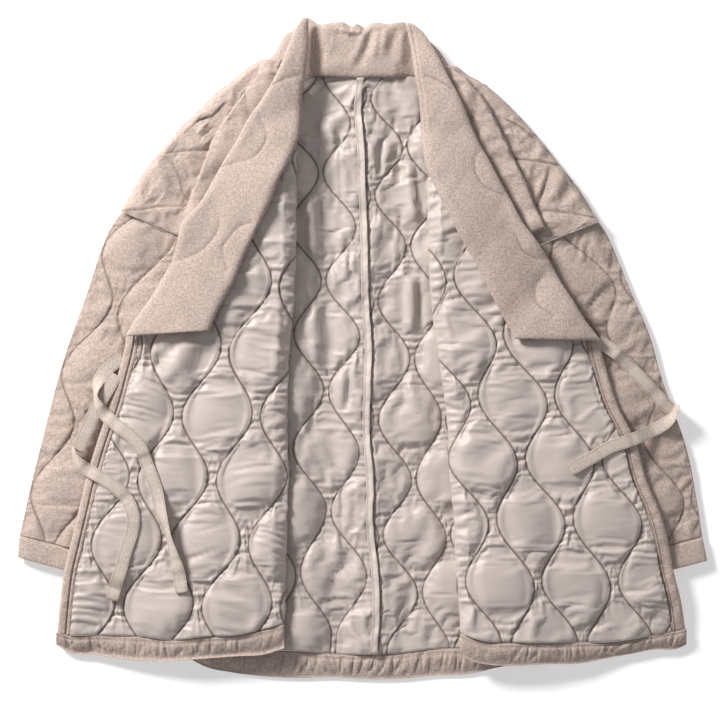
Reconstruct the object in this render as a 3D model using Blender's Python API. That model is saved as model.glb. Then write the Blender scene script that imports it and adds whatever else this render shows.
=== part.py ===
"""A wide wrap coat of padded, onion-quilted cloth, laid on its back with both fronts folded open.

The floor is Z = 0, +Y runs from the hem to the collar, and +X is to the right of someone who looks
down on the coat. Left and right are as that person sees them. Tables and lengths are in millimetres
from the middle of the spread coat, and the solids are in metres.

Every layer is laid on what is already on the floor. Pile keeps the height of the heap on a raster and
gives the next layer a bed that clears it and drops no faster than padded cloth bends.
"""

import math
from collections import namedtuple

import bmesh
import bpy
import numpy as np
from mathutils import Vector
from mathutils.bvhtree import BVHTree

MM = 0.001

# Walls, in millimetres
SEAM_GAP = 0.4  # between neighbours that are sewn together
LAY_GAP = 0.5  # between a layer and what it lies on
BACK_PAD = 6.0  # a padded panel at its sewn lines
FRONT_PAD = 6.5
SLEEVE_PAD = 14.0  # both layers of a flattened sleeve
BAND_PAD = 9.0
COLLAR_PAD = 15.0
HEM_PAD = 8.0
EDGE_PAD = 6.0
BINDING_PAD = 2.5
TAPE_PAD = 1.6
TAPE_WIDTH = 16.0
BACK_PUFF = 4.0  # how far a bubble of the quilting stands over its sewn lines
FRONT_PUFF = 5.0
SLEEVE_PUFF = 5.0
BAND_PUFF = 2.0
TUCK_RISE = 9.0  # the long fold that runs from the neck to the armhole
TUCK_SPREAD = 30.0
LIP = 6.5  # how far the turned-back front wraps the layer under it at the fold
LIP_ROOM = 4.0  # between the inside of that lip and the layer under it
CUFF_SLOT = 3.4  # the flat mouth of a sleeve
CUFF_WALL = 9.0  # beside that mouth
BACK_INSET = 2.0  # from the edge of a shoulder to the edge of the back half under it
FLAT_FROM = 8.0  # from here in, a wall on the floor lies flat on it

# What is left of a wall's thickness at its edge
FREE, SEAM = 0.14, 0.62
EDGE_RADIUS = 10.0
SLEEVE_RADIUS = 14.0
FOLD_RADIUS = 13.0

ROW_STEP = 23.0  # between the levels of a quilted panel
HEM_LEVEL = -378  # the last level of the back, which follows the seam of the hem
FRONT_HEM_LEVEL = -355
THIRDS = (0, 1 / 3, 2 / 3)  # where a channel between two sewn lines has its columns

SHELL = ("padded_shell", (0.62, 0.49, 0.43), 0.85)
LINING = ("satin_lining", (0.64, 0.55, 0.51), 0.45)
BINDING = ("seam_binding", (0.60, 0.50, 0.45), 0.6)
TAPE = ("cotton_tape", (0.70, 0.62, 0.54), 0.9)

Outline = namedtuple("Outline", "level x")
Strip = namedtuple("Strip", "level outer inner")
Section = namedtuple("Section", "outer_x outer_y inner_x inner_y")
Hem = namedtuple("Hem", "x top bottom")
Route = namedtuple("Route", "x y roll")
Quilting = namedtuple("Quilting", "first lean spacing crests")

# The shoulder, from the neck out to the armhole, as the outline of both body layers
SHOULDER = {
    "left": [Outline(*row) for row in (
        (360, -128), (350, -143), (337, -159), (320, -181), (297, -204), (275, -227),
        (255, -244), (235, -262), (211, -279), (188, -292), (171, -301))],
    "right": [Outline(*row) for row in (
        (352, 118), (342, 131), (330, 152), (312, 174), (293, 193), (267, 216),
        (236, 241), (208, 263), (185, 279), (158, 295))],
}
NECK_LINE = 340.5  # just below the seam of the collar
UNDERARM = {"left": (-159, 113), "right": (163, 108)}
# The side seam, which the folded fronts hide, from the underarm to the hem
SIDE_SEAM = {
    "left": [Outline(*row) for row in ((113, -159), (61, -167), (-64, -184), (-189, -199), (-378, -214))],
    "right": [Outline(*row) for row in ((108, 163), (61, 168), (-64, 184), (-189, 196), (-378, 204))],
}
CENTRE_SEAM = [Outline(*row) for row in (
    (338, -2), (302, -6), (248, -2), (186, 0), (136, 2), (68, 3), (2, 7), (-45, 6),
    (-103, 4), (-164, 9), (-222, 9), (-270, 14), (-314, 17), (-381, 14))]
# The long tuck on each shoulder, down to where the collar band hides it
TUCK = {
    "left": [Outline(*row) for row in (
        (360, -123), (337, -133), (320, -146), (297, -163), (275, -178), (255, -189),
        (235, -196), (211, -205), (188, -215), (157, -223))],
    "right": [Outline(*row) for row in (
        (352, 113), (330, 139), (312, 150), (293, 161), (267, 174), (236, 189),
        (208, 203), (185, 212), (150, 228))],
}
# Where the shoulder layer ends under the collar band, above the fold of the front
SHOULDER_INNER = {
    "left": [Outline(*row) for row in ((360, -121), (340.5, -111.5), (337, -97), (300, -94), (246, -91))],
    "right": [Outline(*row) for row in ((352, 111), (340.5, 110), (337, 97), (300, 92), (213, 88))],
}
# The fold of each front, over the back
FOLD = {
    "left": [Outline(*row) for row in (
        (246, -82), (168, -82), (75, -84), (6, -90), (-70, -93), (-164, -92), (-245, -94),
        (-298, -96), (-370, -96))],
    "right": [Outline(*row) for row in (
        (213, 79), (168, 81), (75, 84), (36, 88), (6, 93), (-29, 97), (-70, 103), (-164, 109),
        (-208, 113), (-298, 117), (-337, 121), (-370, 119))],
}
# The free edge of each front, below the collar band
FRONT_EDGE = {
    "left": [Outline(*row) for row in (
        (24, -293), (11, -294), (-29, -303), (-70, -314), (-114, -329), (-164, -344),
        (-202, -353), (-240, -362), (-277, -371), (-312, -376), (-360, -381))],
    "right": [Outline(*row) for row in (
        (20, 293), (2, 296), (-29, 304), (-70, 317), (-114, 339), (-164, 353), (-202, 369),
        (-240, 380), (-277, 387), (-312, 396), (-360, 404))],
}
EDGE_WIDTH = {"left": 16.0, "right": 17.5}
# How far the turned-back front reaches under the collar band
FRONT_UNDER_BAND = {
    "left": [Outline(*row) for row in (
        (246, -95), (211, -118), (168, -137), (120, -160), (75, -180), (50, -194), (36, -207),
        (30, -240), (25, -268), (20, -277.5))],
    "right": [Outline(*row) for row in (
        (213, 95), (180, 117), (136, 139), (83, 168), (61, 179), (38, 192), (30, 207),
        (24, 245), (19, 270), (14, 277))],
}
BAND = {
    "left": [Strip(*row) for row in (
        (411, -75, -67), (401, -82, -67), (373, -93, -67), (338, -108, -71), (310, -124, -75),
        (286, -141, -77), (258, -156, -80), (232, -172, -91), (207, -186, -104), (180, -202, -114),
        (157, -223, -126), (136, -229, -136), (110, -236, -148), (83, -251, -159), (61, -264, -171),
        (38, -282, -182), (18, -294, -189))],
    "right": [Strip(*row) for row in (
        (405, 61, 53), (401, 67, 54), (373, 88, 60), (338, 106, 65), (310, 121, 70), (286, 131, 72),
        (258, 143, 74), (232, 158, 77), (207, 171, 86), (180, 186, 100), (157, 198, 111),
        (136, 214, 122), (110, 231, 137), (83, 246, 151), (61, 260, 162), (38, 275, 175),
        (13, 296, 189))],
}
COLLAR = [Hem(*row) for row in (
    (-118, 360, 357), (-108, 372, 343), (-98, 390, 342), (-84, 401, 342), (-76, 411, 343),
    (-67, 413, 342), (-56, 406, 342), (-39, 407, 341), (-24, 408, 340), (-14, 403, 340),
    (-7, 406, 339), (3, 401, 339), (11, 406, 340), (33, 406, 340), (52, 408, 341), (61, 405, 341),
    (69, 398, 341), (83, 385, 341), (97, 371, 342), (108, 354, 343))]
# The sleeves, each row a section from the folded outer side to the hidden inner side
SLEEVE = {
    "left": [Section(*row) for row in (
        (-301, 171, -161, 112), (-321, 136, -173, 61), (-346, 63, -187, -2), (-371, -8, -202, -64),
        (-391, -80, -218, -127), (-412, -164, -235, -195), (-422, -208, -244, -236),
        (-428, -233, -252, -277))],
    "right": [Section(*row) for row in (
        (295, 158, 165, 107), (308, 136, 174, 55), (334, 73, 188, -5), (358, 17, 203, -68),
        (374, -39, 219, -130), (403, -120, 237, -199), (416, -183, 247, -240),
        (424, -235, 254, -277))],
}
CUFF_END = {"left": Section(-430, -260, -262, -305), "right": Section(430, -264, 266, -307)}
HEM = {
    "left": [Hem(*row) for row in (
        (-382, -353, -369), (-368, -357, -378), (-334, -357, -382), (-281, -358, -388),
        (-237, -362, -388), (-196, -358, -385), (-154, -356, -382), (-123, -349, -380),
        (-97, -342, -372))],
    "right": [Hem(*row) for row in (
        (121, -353, -377), (130, -357, -385), (153, -364, -392), (186, -365, -394),
        (231, -366, -392), (267, -365, -392), (309, -366, -385), (338, -362, -380),
        (364, -357, -375), (393, -351, -374), (404, -349, -369))],
    "back": [Hem(*row) for row in (
        (-214, -378, -388), (-196, -378, -397), (-164, -377, -404), (-123, -377, -409),
        (-78, -378, -411), (-39, -381, -410), (6, -382, -412.4), (49, -380, -412), (88, -375, -408),
        (139, -374, -405), (164, -374, -399), (203, -374, -392))],
}
# The tapes: a route down the middle of each stretch, and how far the tape is rolled on to its edge
TIE = {
    "tie_left_upper": [Route(*row) for row in (
        (-302.5, -17, 0), (-319, -23, 0), (-329, -37, 0), (-331, -53, 0), (-329, -70, 0),
        (-319, -83, 0), (-304, -95, 0), (-287, -108, 0), (-275, -122, 0), (-267, -143, 0),
        (-256, -172, 0), (-250, -200, 25), (-241, -229, 60), (-234, -253, 45), (-227, -279, 10),
        (-224, -303, 0))],
    "tie_left_lower": [Route(*row) for row in (
        (-315, -50, 0), (-329, -73, 0), (-342, -100, 0), (-353, -124, 0))],
    "tie_left_lower_end": [Route(*row) for row in (
        (-361, -134, 0), (-345, -147, 0), (-323, -158, 0), (-303, -174, 0), (-290, -190, 0),
        (-284, -208, 0), (-286, -229, 0), (-293, -250, 0), (-299, -272, 0), (-306, -293, 0),
        (-311, -312, 0))],
    "tie_right": [Route(*row) for row in (
        (303, 4, 0), (318, -6, 0), (338, -27, 0), (359, -50, 0), (377, -69, 0), (386, -77, 0))],
    "tie_right_end": [Route(*row) for row in (
        (394, -76, 0), (384, -88, 0), (372, -95, 0), (349, -107, 0), (328, -115, 0), (307, -122, 0),
        (284, -135, 0), (257, -150, 0))],
}
# Sewn lines: the first one's distance from the edge they are counted from, how fast it leans away
# from that edge going down, their spacing, and the levels where the even lines sway outwards
QUILTING = {
    "back_left": Quilting(29, 0, 44, (345, 220, 85, -52, -202, -360)),
    "back_right": Quilting(34, 0, 42, (376, 252, 128, -12, -164, -305, -450)),
    "front_left": Quilting(14, 0.09, 48.8, (396, 238, 80, -82, -240, -396)),
    "front_right": Quilting(14, 0.075, 47.5, (389, 238, 87, -64, -215, -370)),
    "sleeve_left": Quilting(18, 0, 43, (354, 203, 52, -99, -250, -400)),
    "sleeve_right": Quilting(33, 0, 43, (283, 148, 13, -122, -258, -393)),
}
LEAN_LEVEL = -80  # where a leaning line is at its first distance
SWAY = 0.38  # how far a line sways, as a share of the spacing


def smooth(stations, values):
    """A curve through the values, as a function of the station."""
    order = np.argsort(stations)
    t, v = np.array(stations, float)[order], np.array(values, float)[order]
    step, rise = np.diff(t), np.diff(v)
    slope = rise / step
    tangent = np.concatenate(
        [slope[:1], (step[1:] * slope[:-1] + step[:-1] * slope[1:]) / (step[1:] + step[:-1]), slope[-1:]])

    def at(station):
        s = np.clip(np.asarray(station, float), t[0], t[-1])
        k = np.clip(np.searchsorted(t, s) - 1, 0, len(step) - 1)
        u = (s - t[k]) / step[k]
        return (v[k] + rise[k] * (3 * u**2 - 2 * u**3)
                + step[k] * (tangent[k] * (u - 2 * u**2 + u**3) + tangent[k + 1] * (u**3 - u**2)))

    return at


def outline(rows):
    return smooth([row.level for row in rows], [row.x for row in rows])


def body_side(side):
    """The outer edge of both body layers: shoulder, straight armhole, side seam."""
    shoulder, seam = outline(SHOULDER[side]), outline(SIDE_SEAM[side])
    tip, underarm = SHOULDER[side][-1], UNDERARM[side]

    def at(level):
        armhole = np.interp(level, (underarm[1], tip.level), (underarm[0], tip.x))
        return np.where(level > tip.level, shoulder(level), np.where(level < underarm[1], seam(level), armhole))

    return at


class Lines:
    """The wavy sewn lines of a piece. Neighbours mirror each other, so the cloth swells into onion shapes."""

    def __init__(self, name):
        self.first, self.lean, self.spacing, crests = QUILTING[name]
        self.levels, self.turns = np.array(crests[::-1], float), np.arange(len(crests))[::-1]

    def at(self, number, level):
        """The distance of a line from the edge that the lines are counted from."""
        wave = np.cos(2 * np.pi * np.interp(level, self.levels, self.turns))
        lean = self.lean * (LEAN_LEVEL - level)
        sign = 1 - 2 * (np.asarray(number) % 2)
        return self.first + lean + self.spacing * (number + SWAY * sign * wave)

    def between(self, number, share, level):
        return (1 - share) * self.at(number, level) + share * self.at(number + 1, level)

    def relief(self, distance, level):
        """How far the cloth stands over its sewn lines, from 0 to about 1."""
        number = np.floor((distance - self.at(0, level)) / self.spacing).astype(int)
        for _ in range(2):
            number = np.where(distance < self.at(number, level), number - 1, number)
            number = np.where(distance >= self.at(number + 1, level), number + 1, number)
        low, high = self.at(number, level), self.at(number + 1, level)
        share = np.clip((distance - low) / (high - low), 0, 1)
        return np.sqrt(4 * share * (1 - share)) * np.clip((high - low) / self.spacing, 0.2, 1.4) ** 0.6


class Pile:
    """The height of everything laid so far, on a raster over the floor."""

    CELL = 4.0
    HALF = 460.0

    def __init__(self):
        self.side = int(2 * self.HALF / self.CELL) + 1
        self.height = np.zeros((self.side, self.side))

    def add(self, mesh):
        tree = BVHTree.FromBMesh(mesh)
        corners = np.array([vertex.co for vertex in mesh.verts]) / MM
        low = np.maximum(((corners.min(0)[:2] + self.HALF) / self.CELL).astype(int), 0)
        high = np.minimum(((corners.max(0)[:2] + self.HALF) / self.CELL).astype(int) + 2, self.side)
        for i in range(low[0], high[0]):
            for j in range(low[1], high[1]):
                x, y = i * self.CELL - self.HALF, j * self.CELL - self.HALF
                hit = tree.ray_cast(Vector((x, y, 1000)) * MM, Vector((0, 0, -1)))[0]
                if hit:
                    self.height[i, j] = max(self.height[i, j], hit.z / MM)

    @staticmethod
    def shifted(field, i, j):
        padded = np.pad(field, ((abs(i), abs(i)), (abs(j), abs(j))))
        return padded[abs(i) + i:abs(i) + i + field.shape[0], abs(j) + j:abs(j) + j + field.shape[1]]

    def bed(self, reach, slope):
        """A surface over the pile: level within reach of what is under it, and no steeper than slope."""
        cells = int(math.ceil(reach / self.CELL))
        steps = [(i, j) for i in range(-cells, cells + 1) for j in range(-cells, cells + 1)
                 if i * i + j * j <= cells * cells]
        field = np.max([self.shifted(self.height, i, j) for i, j in steps], axis=0)
        around = [(i, j) for i in (-1, 0, 1) for j in (-1, 0, 1) if i or j]
        for _ in range(self.side):
            lower = np.max([self.shifted(field, i, j) - slope * self.CELL * math.hypot(i, j)
                            for i, j in around], axis=0)
            if (lower <= field + 1e-6).all():
                break
            field = np.maximum(field, lower)

        def at(x, y):
            u = np.clip((np.asarray(x) + self.HALF) / self.CELL, 0, self.side - 1.001)
            v = np.clip((np.asarray(y) + self.HALF) / self.CELL, 0, self.side - 1.001)
            i, j = u.astype(int), v.astype(int)
            u, v = u - i, v - j
            return ((1 - u) * (1 - v) * field[i, j] + u * (1 - v) * field[i + 1, j]
                    + (1 - u) * v * field[i, j + 1] + u * v * field[i + 1, j + 1] + LAY_GAP)

        return at


def floor(x, _y):
    return np.zeros_like(x)


def rounded(distance, left_over, radius=EDGE_RADIUS):
    """The share of its thickness that a padded wall has at this distance from its edge."""
    near = 1 - np.clip(distance / radius, 0, 1)
    return left_over + (1 - left_over) * np.sqrt(1 - near**2)


def material(finish):
    name, colour, roughness = finish
    made = bpy.data.materials.get(name)
    if not made:
        made = bpy.data.materials.new(name)
        made.use_nodes = True
        shader = made.node_tree.nodes["Principled BSDF"]
        shader.inputs["Base Color"].default_value = (*colour, 1)
        shader.inputs["Roughness"].default_value = roughness
    return made


def solid(name, finish, x, y, low, high, pile=None):
    """A closed wall from a grid: its plan, and the height of its underside and of its upper side."""
    rows, columns = x.shape
    bm = bmesh.new()
    bmesh.ops.create_grid(bm, x_segments=columns - 1, y_segments=rows - 1, size=0.5)
    raised = bmesh.ops.extrude_face_region(bm, geom=bm.faces[:])["geom"]
    bmesh.ops.translate(bm, verts=[v for v in raised if isinstance(v, bmesh.types.BMVert)], vec=(0, 0, 1))
    for vertex in bm.verts:
        column = round((vertex.co.x + 0.5) * (columns - 1))
        row = round((0.5 - vertex.co.y) * (rows - 1))
        height = high if vertex.co.z > 0.5 else low
        vertex.co = Vector((x[row, column], y[row, column], height[row, column])) * MM
    bmesh.ops.recalc_face_normals(bm, faces=bm.faces[:])
    if bm.calc_volume(signed=True) < 0:
        bmesh.ops.reverse_faces(bm, faces=bm.faces[:])
    mesh = bpy.data.meshes.new(name)
    bm.to_mesh(mesh)
    if pile:
        pile.add(bm)
    bm.free()
    mesh.shade_smooth()
    mesh.set_sharp_from_angle(angle=math.radians(50))
    mesh.materials.append(material(finish))
    made = bpy.data.objects.new(name, mesh)
    bpy.context.scene.collection.objects.link(made)
    return made


def padded_wall(bed, pad, relief, share):
    """The underside and the upper side of a padded wall that lies on a bed."""
    return bed + 0.5 * pad * (1 - share), bed + 0.5 * pad * (1 + share) + relief * share


def levels(first, last, step=ROW_STEP):
    return np.linspace(first, last, max(2, round(abs(first - last) / step) + 1))


def edge_levels(side):
    """The levels of a front and of its edge strip, below the collar band."""
    below = FRONT_UNDER_BAND[side][-1].level
    return np.concatenate([levels(below - 2, FRONT_HEM_LEVEL + 20), [FRONT_HEM_LEVEL]])


def sign_of(side):
    return -1 if side == "left" else 1


def quilt_columns(lines, level, width, numbers, shares, near, far):
    """Columns along the sewn lines and between them, kept in order and clear of both edges."""
    places = [(number, share) for number in numbers for share in shares]
    apart = 1.2
    columns = []
    for k, (number, share) in enumerate(places):
        place = lines.between(number, share, level)
        columns.append(np.clip(place, near + apart * (k + 1), width - far - apart * (len(places) - k)))
    return columns


def back_half(side, pile):
    lines = Lines("back_" + side)
    centre, outer = outline(CENTRE_SEAM), body_side(side)
    hem = smooth([row.x for row in HEM["back"]], [row.top for row in HEM["back"]])
    neck = SHOULDER[side][0].level
    inner = outline(SHOULDER_INNER[side])
    tip, arm = SHOULDER[side][-1].level, UNDERARM[side][1]
    rows = np.concatenate([
        levels(neck, NECK_LINE, 9), levels(338, tip, 30)[:-1], levels(tip, arm, 25)[:-1],
        levels(arm, HEM_LEVEL + 18), [HEM_LEVEL]])
    level = rows[:, None]
    # The neck line runs out almost level from the collar to the centre.
    start = np.where(rows > NECK_LINE - 1, inner(rows), centre(rows) + sign_of(side) * SEAM_GAP / 2)
    width = sign_of(side) * (outer(rows) - start) - BACK_INSET
    shift = sign_of(side) * (start - centre(rows))
    across = [0 * rows, np.minimum(5.0, width * 0.1)]
    across += quilt_columns(lines, rows, width, (0, 1), THIRDS, 5, 34)
    across += [np.clip(lines.at(2, rows), 0.4 * width, width - 30), width - 10.0, width - 3.5, width]
    s = np.maximum.accumulate(np.array(across).T * np.ones((len(rows), 1)), axis=1)
    s = np.where(rows[:, None] > NECK_LINE - 1, width[:, None] * np.linspace(0, 1, s.shape[1]), s)
    x = start[:, None] + sign_of(side) * s
    y = np.where(level <= HEM_LEVEL, hem(x) + SEAM_GAP, level + 0 * s)
    share = rounded(s, SEAM) * rounded(width[:, None] - s, FREE)
    share = np.minimum(share, rounded(y - hem(x), SEAM))
    relief = BACK_PUFF * lines.relief(s + shift[:, None], y)
    low, high = padded_wall(floor(x, y), BACK_PAD, relief, share)
    low = np.where((s > FLAT_FROM) & (width[:, None] - s > FLAT_FROM), 0, low)
    solid("back_" + side, LINING, x, y, low, high, pile)


def strip_along_x(name, finish, rows, bed, pad, ends, across, edge_shares, pile, puff=0.0):
    """A strip between a top and a bottom curve, such as a hem or the back of the collar."""
    top = smooth([row.x for row in rows], [row.top for row in rows])
    bottom = smooth([row.x for row in rows], [row.bottom for row in rows])
    x = ends[:, None] + 0 * across
    deep = top(x) - bottom(x)
    y = top(x) - SEAM_GAP - (deep - SEAM_GAP) * across
    share = rounded(deep * across, edge_shares[0]) * rounded(deep * (1 - across), edge_shares[1])
    if edge_shares[2] < 1:
        side = np.minimum(x - x.min(), x.max() - x)
        share = share * rounded(side, edge_shares[2], 6.0)
    relief = puff * np.sin(np.pi * across) * (1 + 0 * x)
    low, high = padded_wall(bed(x, y), pad if np.isscalar(pad) else pad[:, None], relief, share)
    if bed is floor:
        low = np.where((across > 0.2) & (across < 0.8), 0, low)
    return solid(name, finish, x, y, low, high, pile)


def hem_strip(side, bed, pile):
    rows = HEM[side]
    first, last = rows[0].x, rows[-1].x
    return strip_along_x("hem_" + side, SHELL, rows, bed, HEM_PAD, np.linspace(first, last, 22),
                         np.array([0, 0.2, 0.5, 0.85, 1]), (SEAM, FREE, FREE), pile, 2.0)


def sleeve(side, pile):
    lines = Lines("sleeve_" + side)
    table = SLEEVE[side]
    count = np.arange(len(table))
    along = np.linspace(0, len(table) - 1, 21)[:, None]
    outer_x, outer_y, inner_x, inner_y = (smooth(count, [row[k] for row in table]) for k in range(4))
    start = np.array([outer_x(along), outer_y(along)])
    end = np.array([inner_x(along), inner_y(along)])
    width = np.hypot(*(end - start))[:, 0]
    level = start[1][:, 0]
    across = [0 * width, 0 * width + 3.0]
    across += quilt_columns(lines, level - 8, width, (-1,), (0.55, 0.8), 4, 40)
    across += quilt_columns(lines, level - 20, width, (0, 1), THIRDS, 10, 30)
    across += [width - 28, width - 14, width - 4, width]
    s = np.maximum.accumulate(np.array(across).T, axis=1)
    s = np.maximum(s, np.arange(s.shape[1]) * 0.5)
    x, y = start + (end - start) * (s / width[:, None])[None]
    number = np.arange(len(along))[:, None]
    y = y - np.where(number == 0, SEAM_GAP / 2, 0) + np.where(number == len(along) - 1, SEAM_GAP / 2, 0)
    share = rounded(s, FREE, SLEEVE_RADIUS) * rounded(width[:, None] - s, FREE, SLEEVE_RADIUS)
    at_seam = (number == 0) | (number == len(along) - 1)
    share = share * np.where(at_seam, 0.82, 1)
    relief = SLEEVE_PUFF * lines.relief(s, y)
    low, high = padded_wall(floor(x, y), SLEEVE_PAD, relief, share)
    low = np.where((s > 12) & (width[:, None] - s > 12), 0, low)
    solid("sleeve_" + side, SHELL, x, y, low, high, pile)


def cuff(side, pile):
    """The turned end of a sleeve, a flat tube that is open at its mouth."""
    first, last = SLEEVE[side][-1], CUFF_END[side]
    along = np.array([0, 0.3, 0.75, 1])[:, None]
    outer = [first.outer_x + (last.outer_x - first.outer_x) * along,
             first.outer_y - SEAM_GAP / 2 + (last.outer_y - first.outer_y) * along]
    inner = [first.inner_x + (last.inner_x - first.inner_x) * along,
             first.inner_y - SEAM_GAP / 2 + (last.inner_y - first.inner_y) * along]
    width = np.hypot(inner[0] - outer[0], inner[1] - outer[1])
    s = np.concatenate([[0, 3, 8, 16], np.linspace(32, 145, 8), [160, 168]])[None, :]
    s = s / 176 * width
    x = outer[0] + (inner[0] - outer[0]) * s / width
    y = outer[1] + (inner[1] - outer[1]) * s / width
    share = rounded(s, FREE, 12) * rounded(width - s, FREE, 12) * np.array([0.85, 1, 1, 0.86])[:, None]
    low, high = padded_wall(floor(x, y), SLEEVE_PAD + 1, 1.5 + 0 * x, share)
    low = np.where((s > 12) & (width - s > 12), 0, low)
    made = solid("cuff_" + side, SHELL, x, y, low, high, pile)
    middle = (SLEEVE_PAD + 1) / 2
    inset = CUFF_WALL / width
    ends = np.array([-0.2, 1.3])[:, None]
    corners = []
    for k in (0, 1):
        a = outer[k][0] + (outer[k][-1] - outer[k][0]) * ends
        b = inner[k][0] + (inner[k][-1] - inner[k][0]) * ends
        corners.append(a + (b - a) * np.array([inset[0, 0], 1 - inset[0, 0]]))
    flat = 0 * corners[0]
    slot = solid("slot_" + side, SHELL, *corners, flat + middle - CUFF_SLOT / 2, flat + middle + CUFF_SLOT / 2)
    slot.hide_render = True
    slot.display_type = "WIRE"
    cut = made.modifiers.new("mouth", "BOOLEAN")
    cut.operation = "DIFFERENCE"
    cut.solver = "EXACT"
    cut.object = slot


def shoulder(side, bed, pile):
    """The front's outer face over the shoulder, with its long tuck, and on down under the fold."""
    lines = Lines("sleeve_" + side)
    outer, tuck = body_side(side), outline(TUCK[side])
    inner_top, fold = outline(SHOULDER_INNER[side]), outline(FOLD[side])
    start = FOLD[side][0].level
    tip, arm = SHOULDER[side][-1].level, UNDERARM[side][1]
    neck = SHOULDER[side][0].level
    rows = np.concatenate([
        [neck], levels(350, tip, 17)[:-1], levels(tip, arm, 15)[:-1], levels(arm, -370, 70)])[:, None]
    sign = sign_of(side)
    edge = outer(rows)
    inside = np.where(rows > start, inner_top(rows), fold(rows) + sign * (LIP + LIP_ROOM))
    width = sign * (edge - inside)
    ridge = edge - sign * np.clip(sign * (edge - tuck(rows)), 0.25 * width, 0.85 * width)
    before = np.array([0, 0.05, 0.14, 0.3, 0.47, 0.64, 0.8, 0.93, 1.0])
    after = np.array([0.5, 0.75, 1.0])
    step = np.minimum(2.5, 0.25 * np.abs(ridge - inside))
    x = np.concatenate([
        edge + (ridge - edge) * before,
        ridge - sign * step,
        (ridge - sign * step) + (inside - ridge + sign * step) * after], axis=1)
    y = rows + 0 * x
    from_edge = sign * (edge - x)
    at_armhole = (rows <= tip) & (rows >= arm)
    share = rounded(from_edge, np.where(at_armhole, SEAM, FREE)) * rounded(sign * (x - inside), FREE)
    share = np.minimum(share, rounded(y.max() - y, SEAM))
    relief = 0.8 * SLEEVE_PUFF * lines.relief(from_edge, y)
    # At the shoulder seam and the side seam the layer comes down round the edge of the back.
    back = rounded(from_edge - BACK_INSET, FREE)
    down = LAY_GAP + 0.5 * BACK_PAD * (1 + back) + 1.25 * BACK_PUFF * back
    lie = np.where(at_armhole, bed(x, y), np.minimum(bed(x, y), down))
    fade = np.clip((rows - arm) / (tip - arm), 0, 1)
    near_ridge = np.clip(1 - sign * (x - ridge) / TUCK_SPREAD, 0, 1)
    rise = TUCK_RISE * fade * np.where(sign * (x - ridge) > -0.01, near_ridge**2, 0)
    low, high = padded_wall(lie, BACK_PAD, relief, share)
    solid("shoulder_" + side, SHELL, x, y, low, high + rise * np.clip(share, 0.3, 1), pile)


def front(side, bed, fold_bed, pile):
    """A front turned back over the body, lining up, from the fold to its edge strip."""
    lines = Lines("front_" + side)
    sign = sign_of(side)
    fold, edge, under = outline(FOLD[side]), outline(FRONT_EDGE[side]), outline(FRONT_UNDER_BAND[side])
    hem = smooth([row.x for row in HEM[side]], [row.top for row in HEM[side]])
    start, below = FOLD[side][0].level, FRONT_UNDER_BAND[side][-1].level
    top_rows = np.concatenate([levels(start, 50), [36, 30, 24]])
    rows = np.concatenate([top_rows, edge_levels(side)])
    seam = np.where(rows > below, under(rows), edge(rows) - sign * (EDGE_WIDTH[side] + SEAM_GAP))
    width = sign * (seam - fold(rows))
    across = [0 * width, np.minimum(3.0, 0.15 * width), np.minimum(LIP, 0.3 * width),
              np.minimum(LIP + 0.5, 0.35 * width)]
    across += quilt_columns(lines, rows, width, (0, 1, 2, 3, 4), THIRDS, 8, 6)
    across += [width - 5, width]
    s = np.maximum.accumulate(np.array(across).T, axis=1)
    s = np.where(width[:, None] < 30, width[:, None] * np.linspace(0, 1, s.shape[1]), s)
    x = fold(rows)[:, None] + sign * s
    y = np.where(rows[:, None] <= FRONT_HEM_LEVEL, hem(x) + SEAM_GAP, rows[:, None] + 0 * x)
    share = rounded(width[:, None] - s, SEAM, 8) * rounded(y - hem(x), SEAM, 8)
    share = np.where(rows[:, None] == start, share * FREE, share)
    relief = FRONT_PUFF * lines.relief(s, y)
    low, high = padded_wall(bed(x, y), FRONT_PAD, relief * np.clip(s / 20, 0, 1), share)
    # The nose of the fold, down to the back
    nose = rounded(s, FREE, FOLD_RADIUS)
    ground = fold_bed(x, y)
    middle = 0.5 * (ground + high)
    lip = (s <= LIP + 0.01) & (width[:, None] > 30)
    low = np.where(lip, middle - (middle - ground) * nose, low)
    high = middle + (high - middle) * nose
    solid("front_" + side, LINING, x, y, low, high, pile)


def front_edge(side, bed, pile):
    """The shell strip with its binding down the free edge of a front."""
    sign = sign_of(side)
    edge = outline(FRONT_EDGE[side])
    hem = smooth([row.x for row in HEM[side]], [row.top for row in HEM[side]])
    rows = edge_levels(side)[:, None]
    s = EDGE_WIDTH[side] * np.array([[0, 0.22, 0.6, 1]])
    x = edge(rows) - sign * s
    y = np.where(rows <= FRONT_HEM_LEVEL, hem(x) + SEAM_GAP, rows + 0 * x)
    share = rounded(s, FREE, 6) * rounded(EDGE_WIDTH[side] - s, SEAM, 5) + 0 * x
    low, high = padded_wall(bed(x, y), EDGE_PAD, 1.0 + 0 * x, share)
    solid("front_edge_" + side, SHELL, x, y, low, high, pile)


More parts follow.
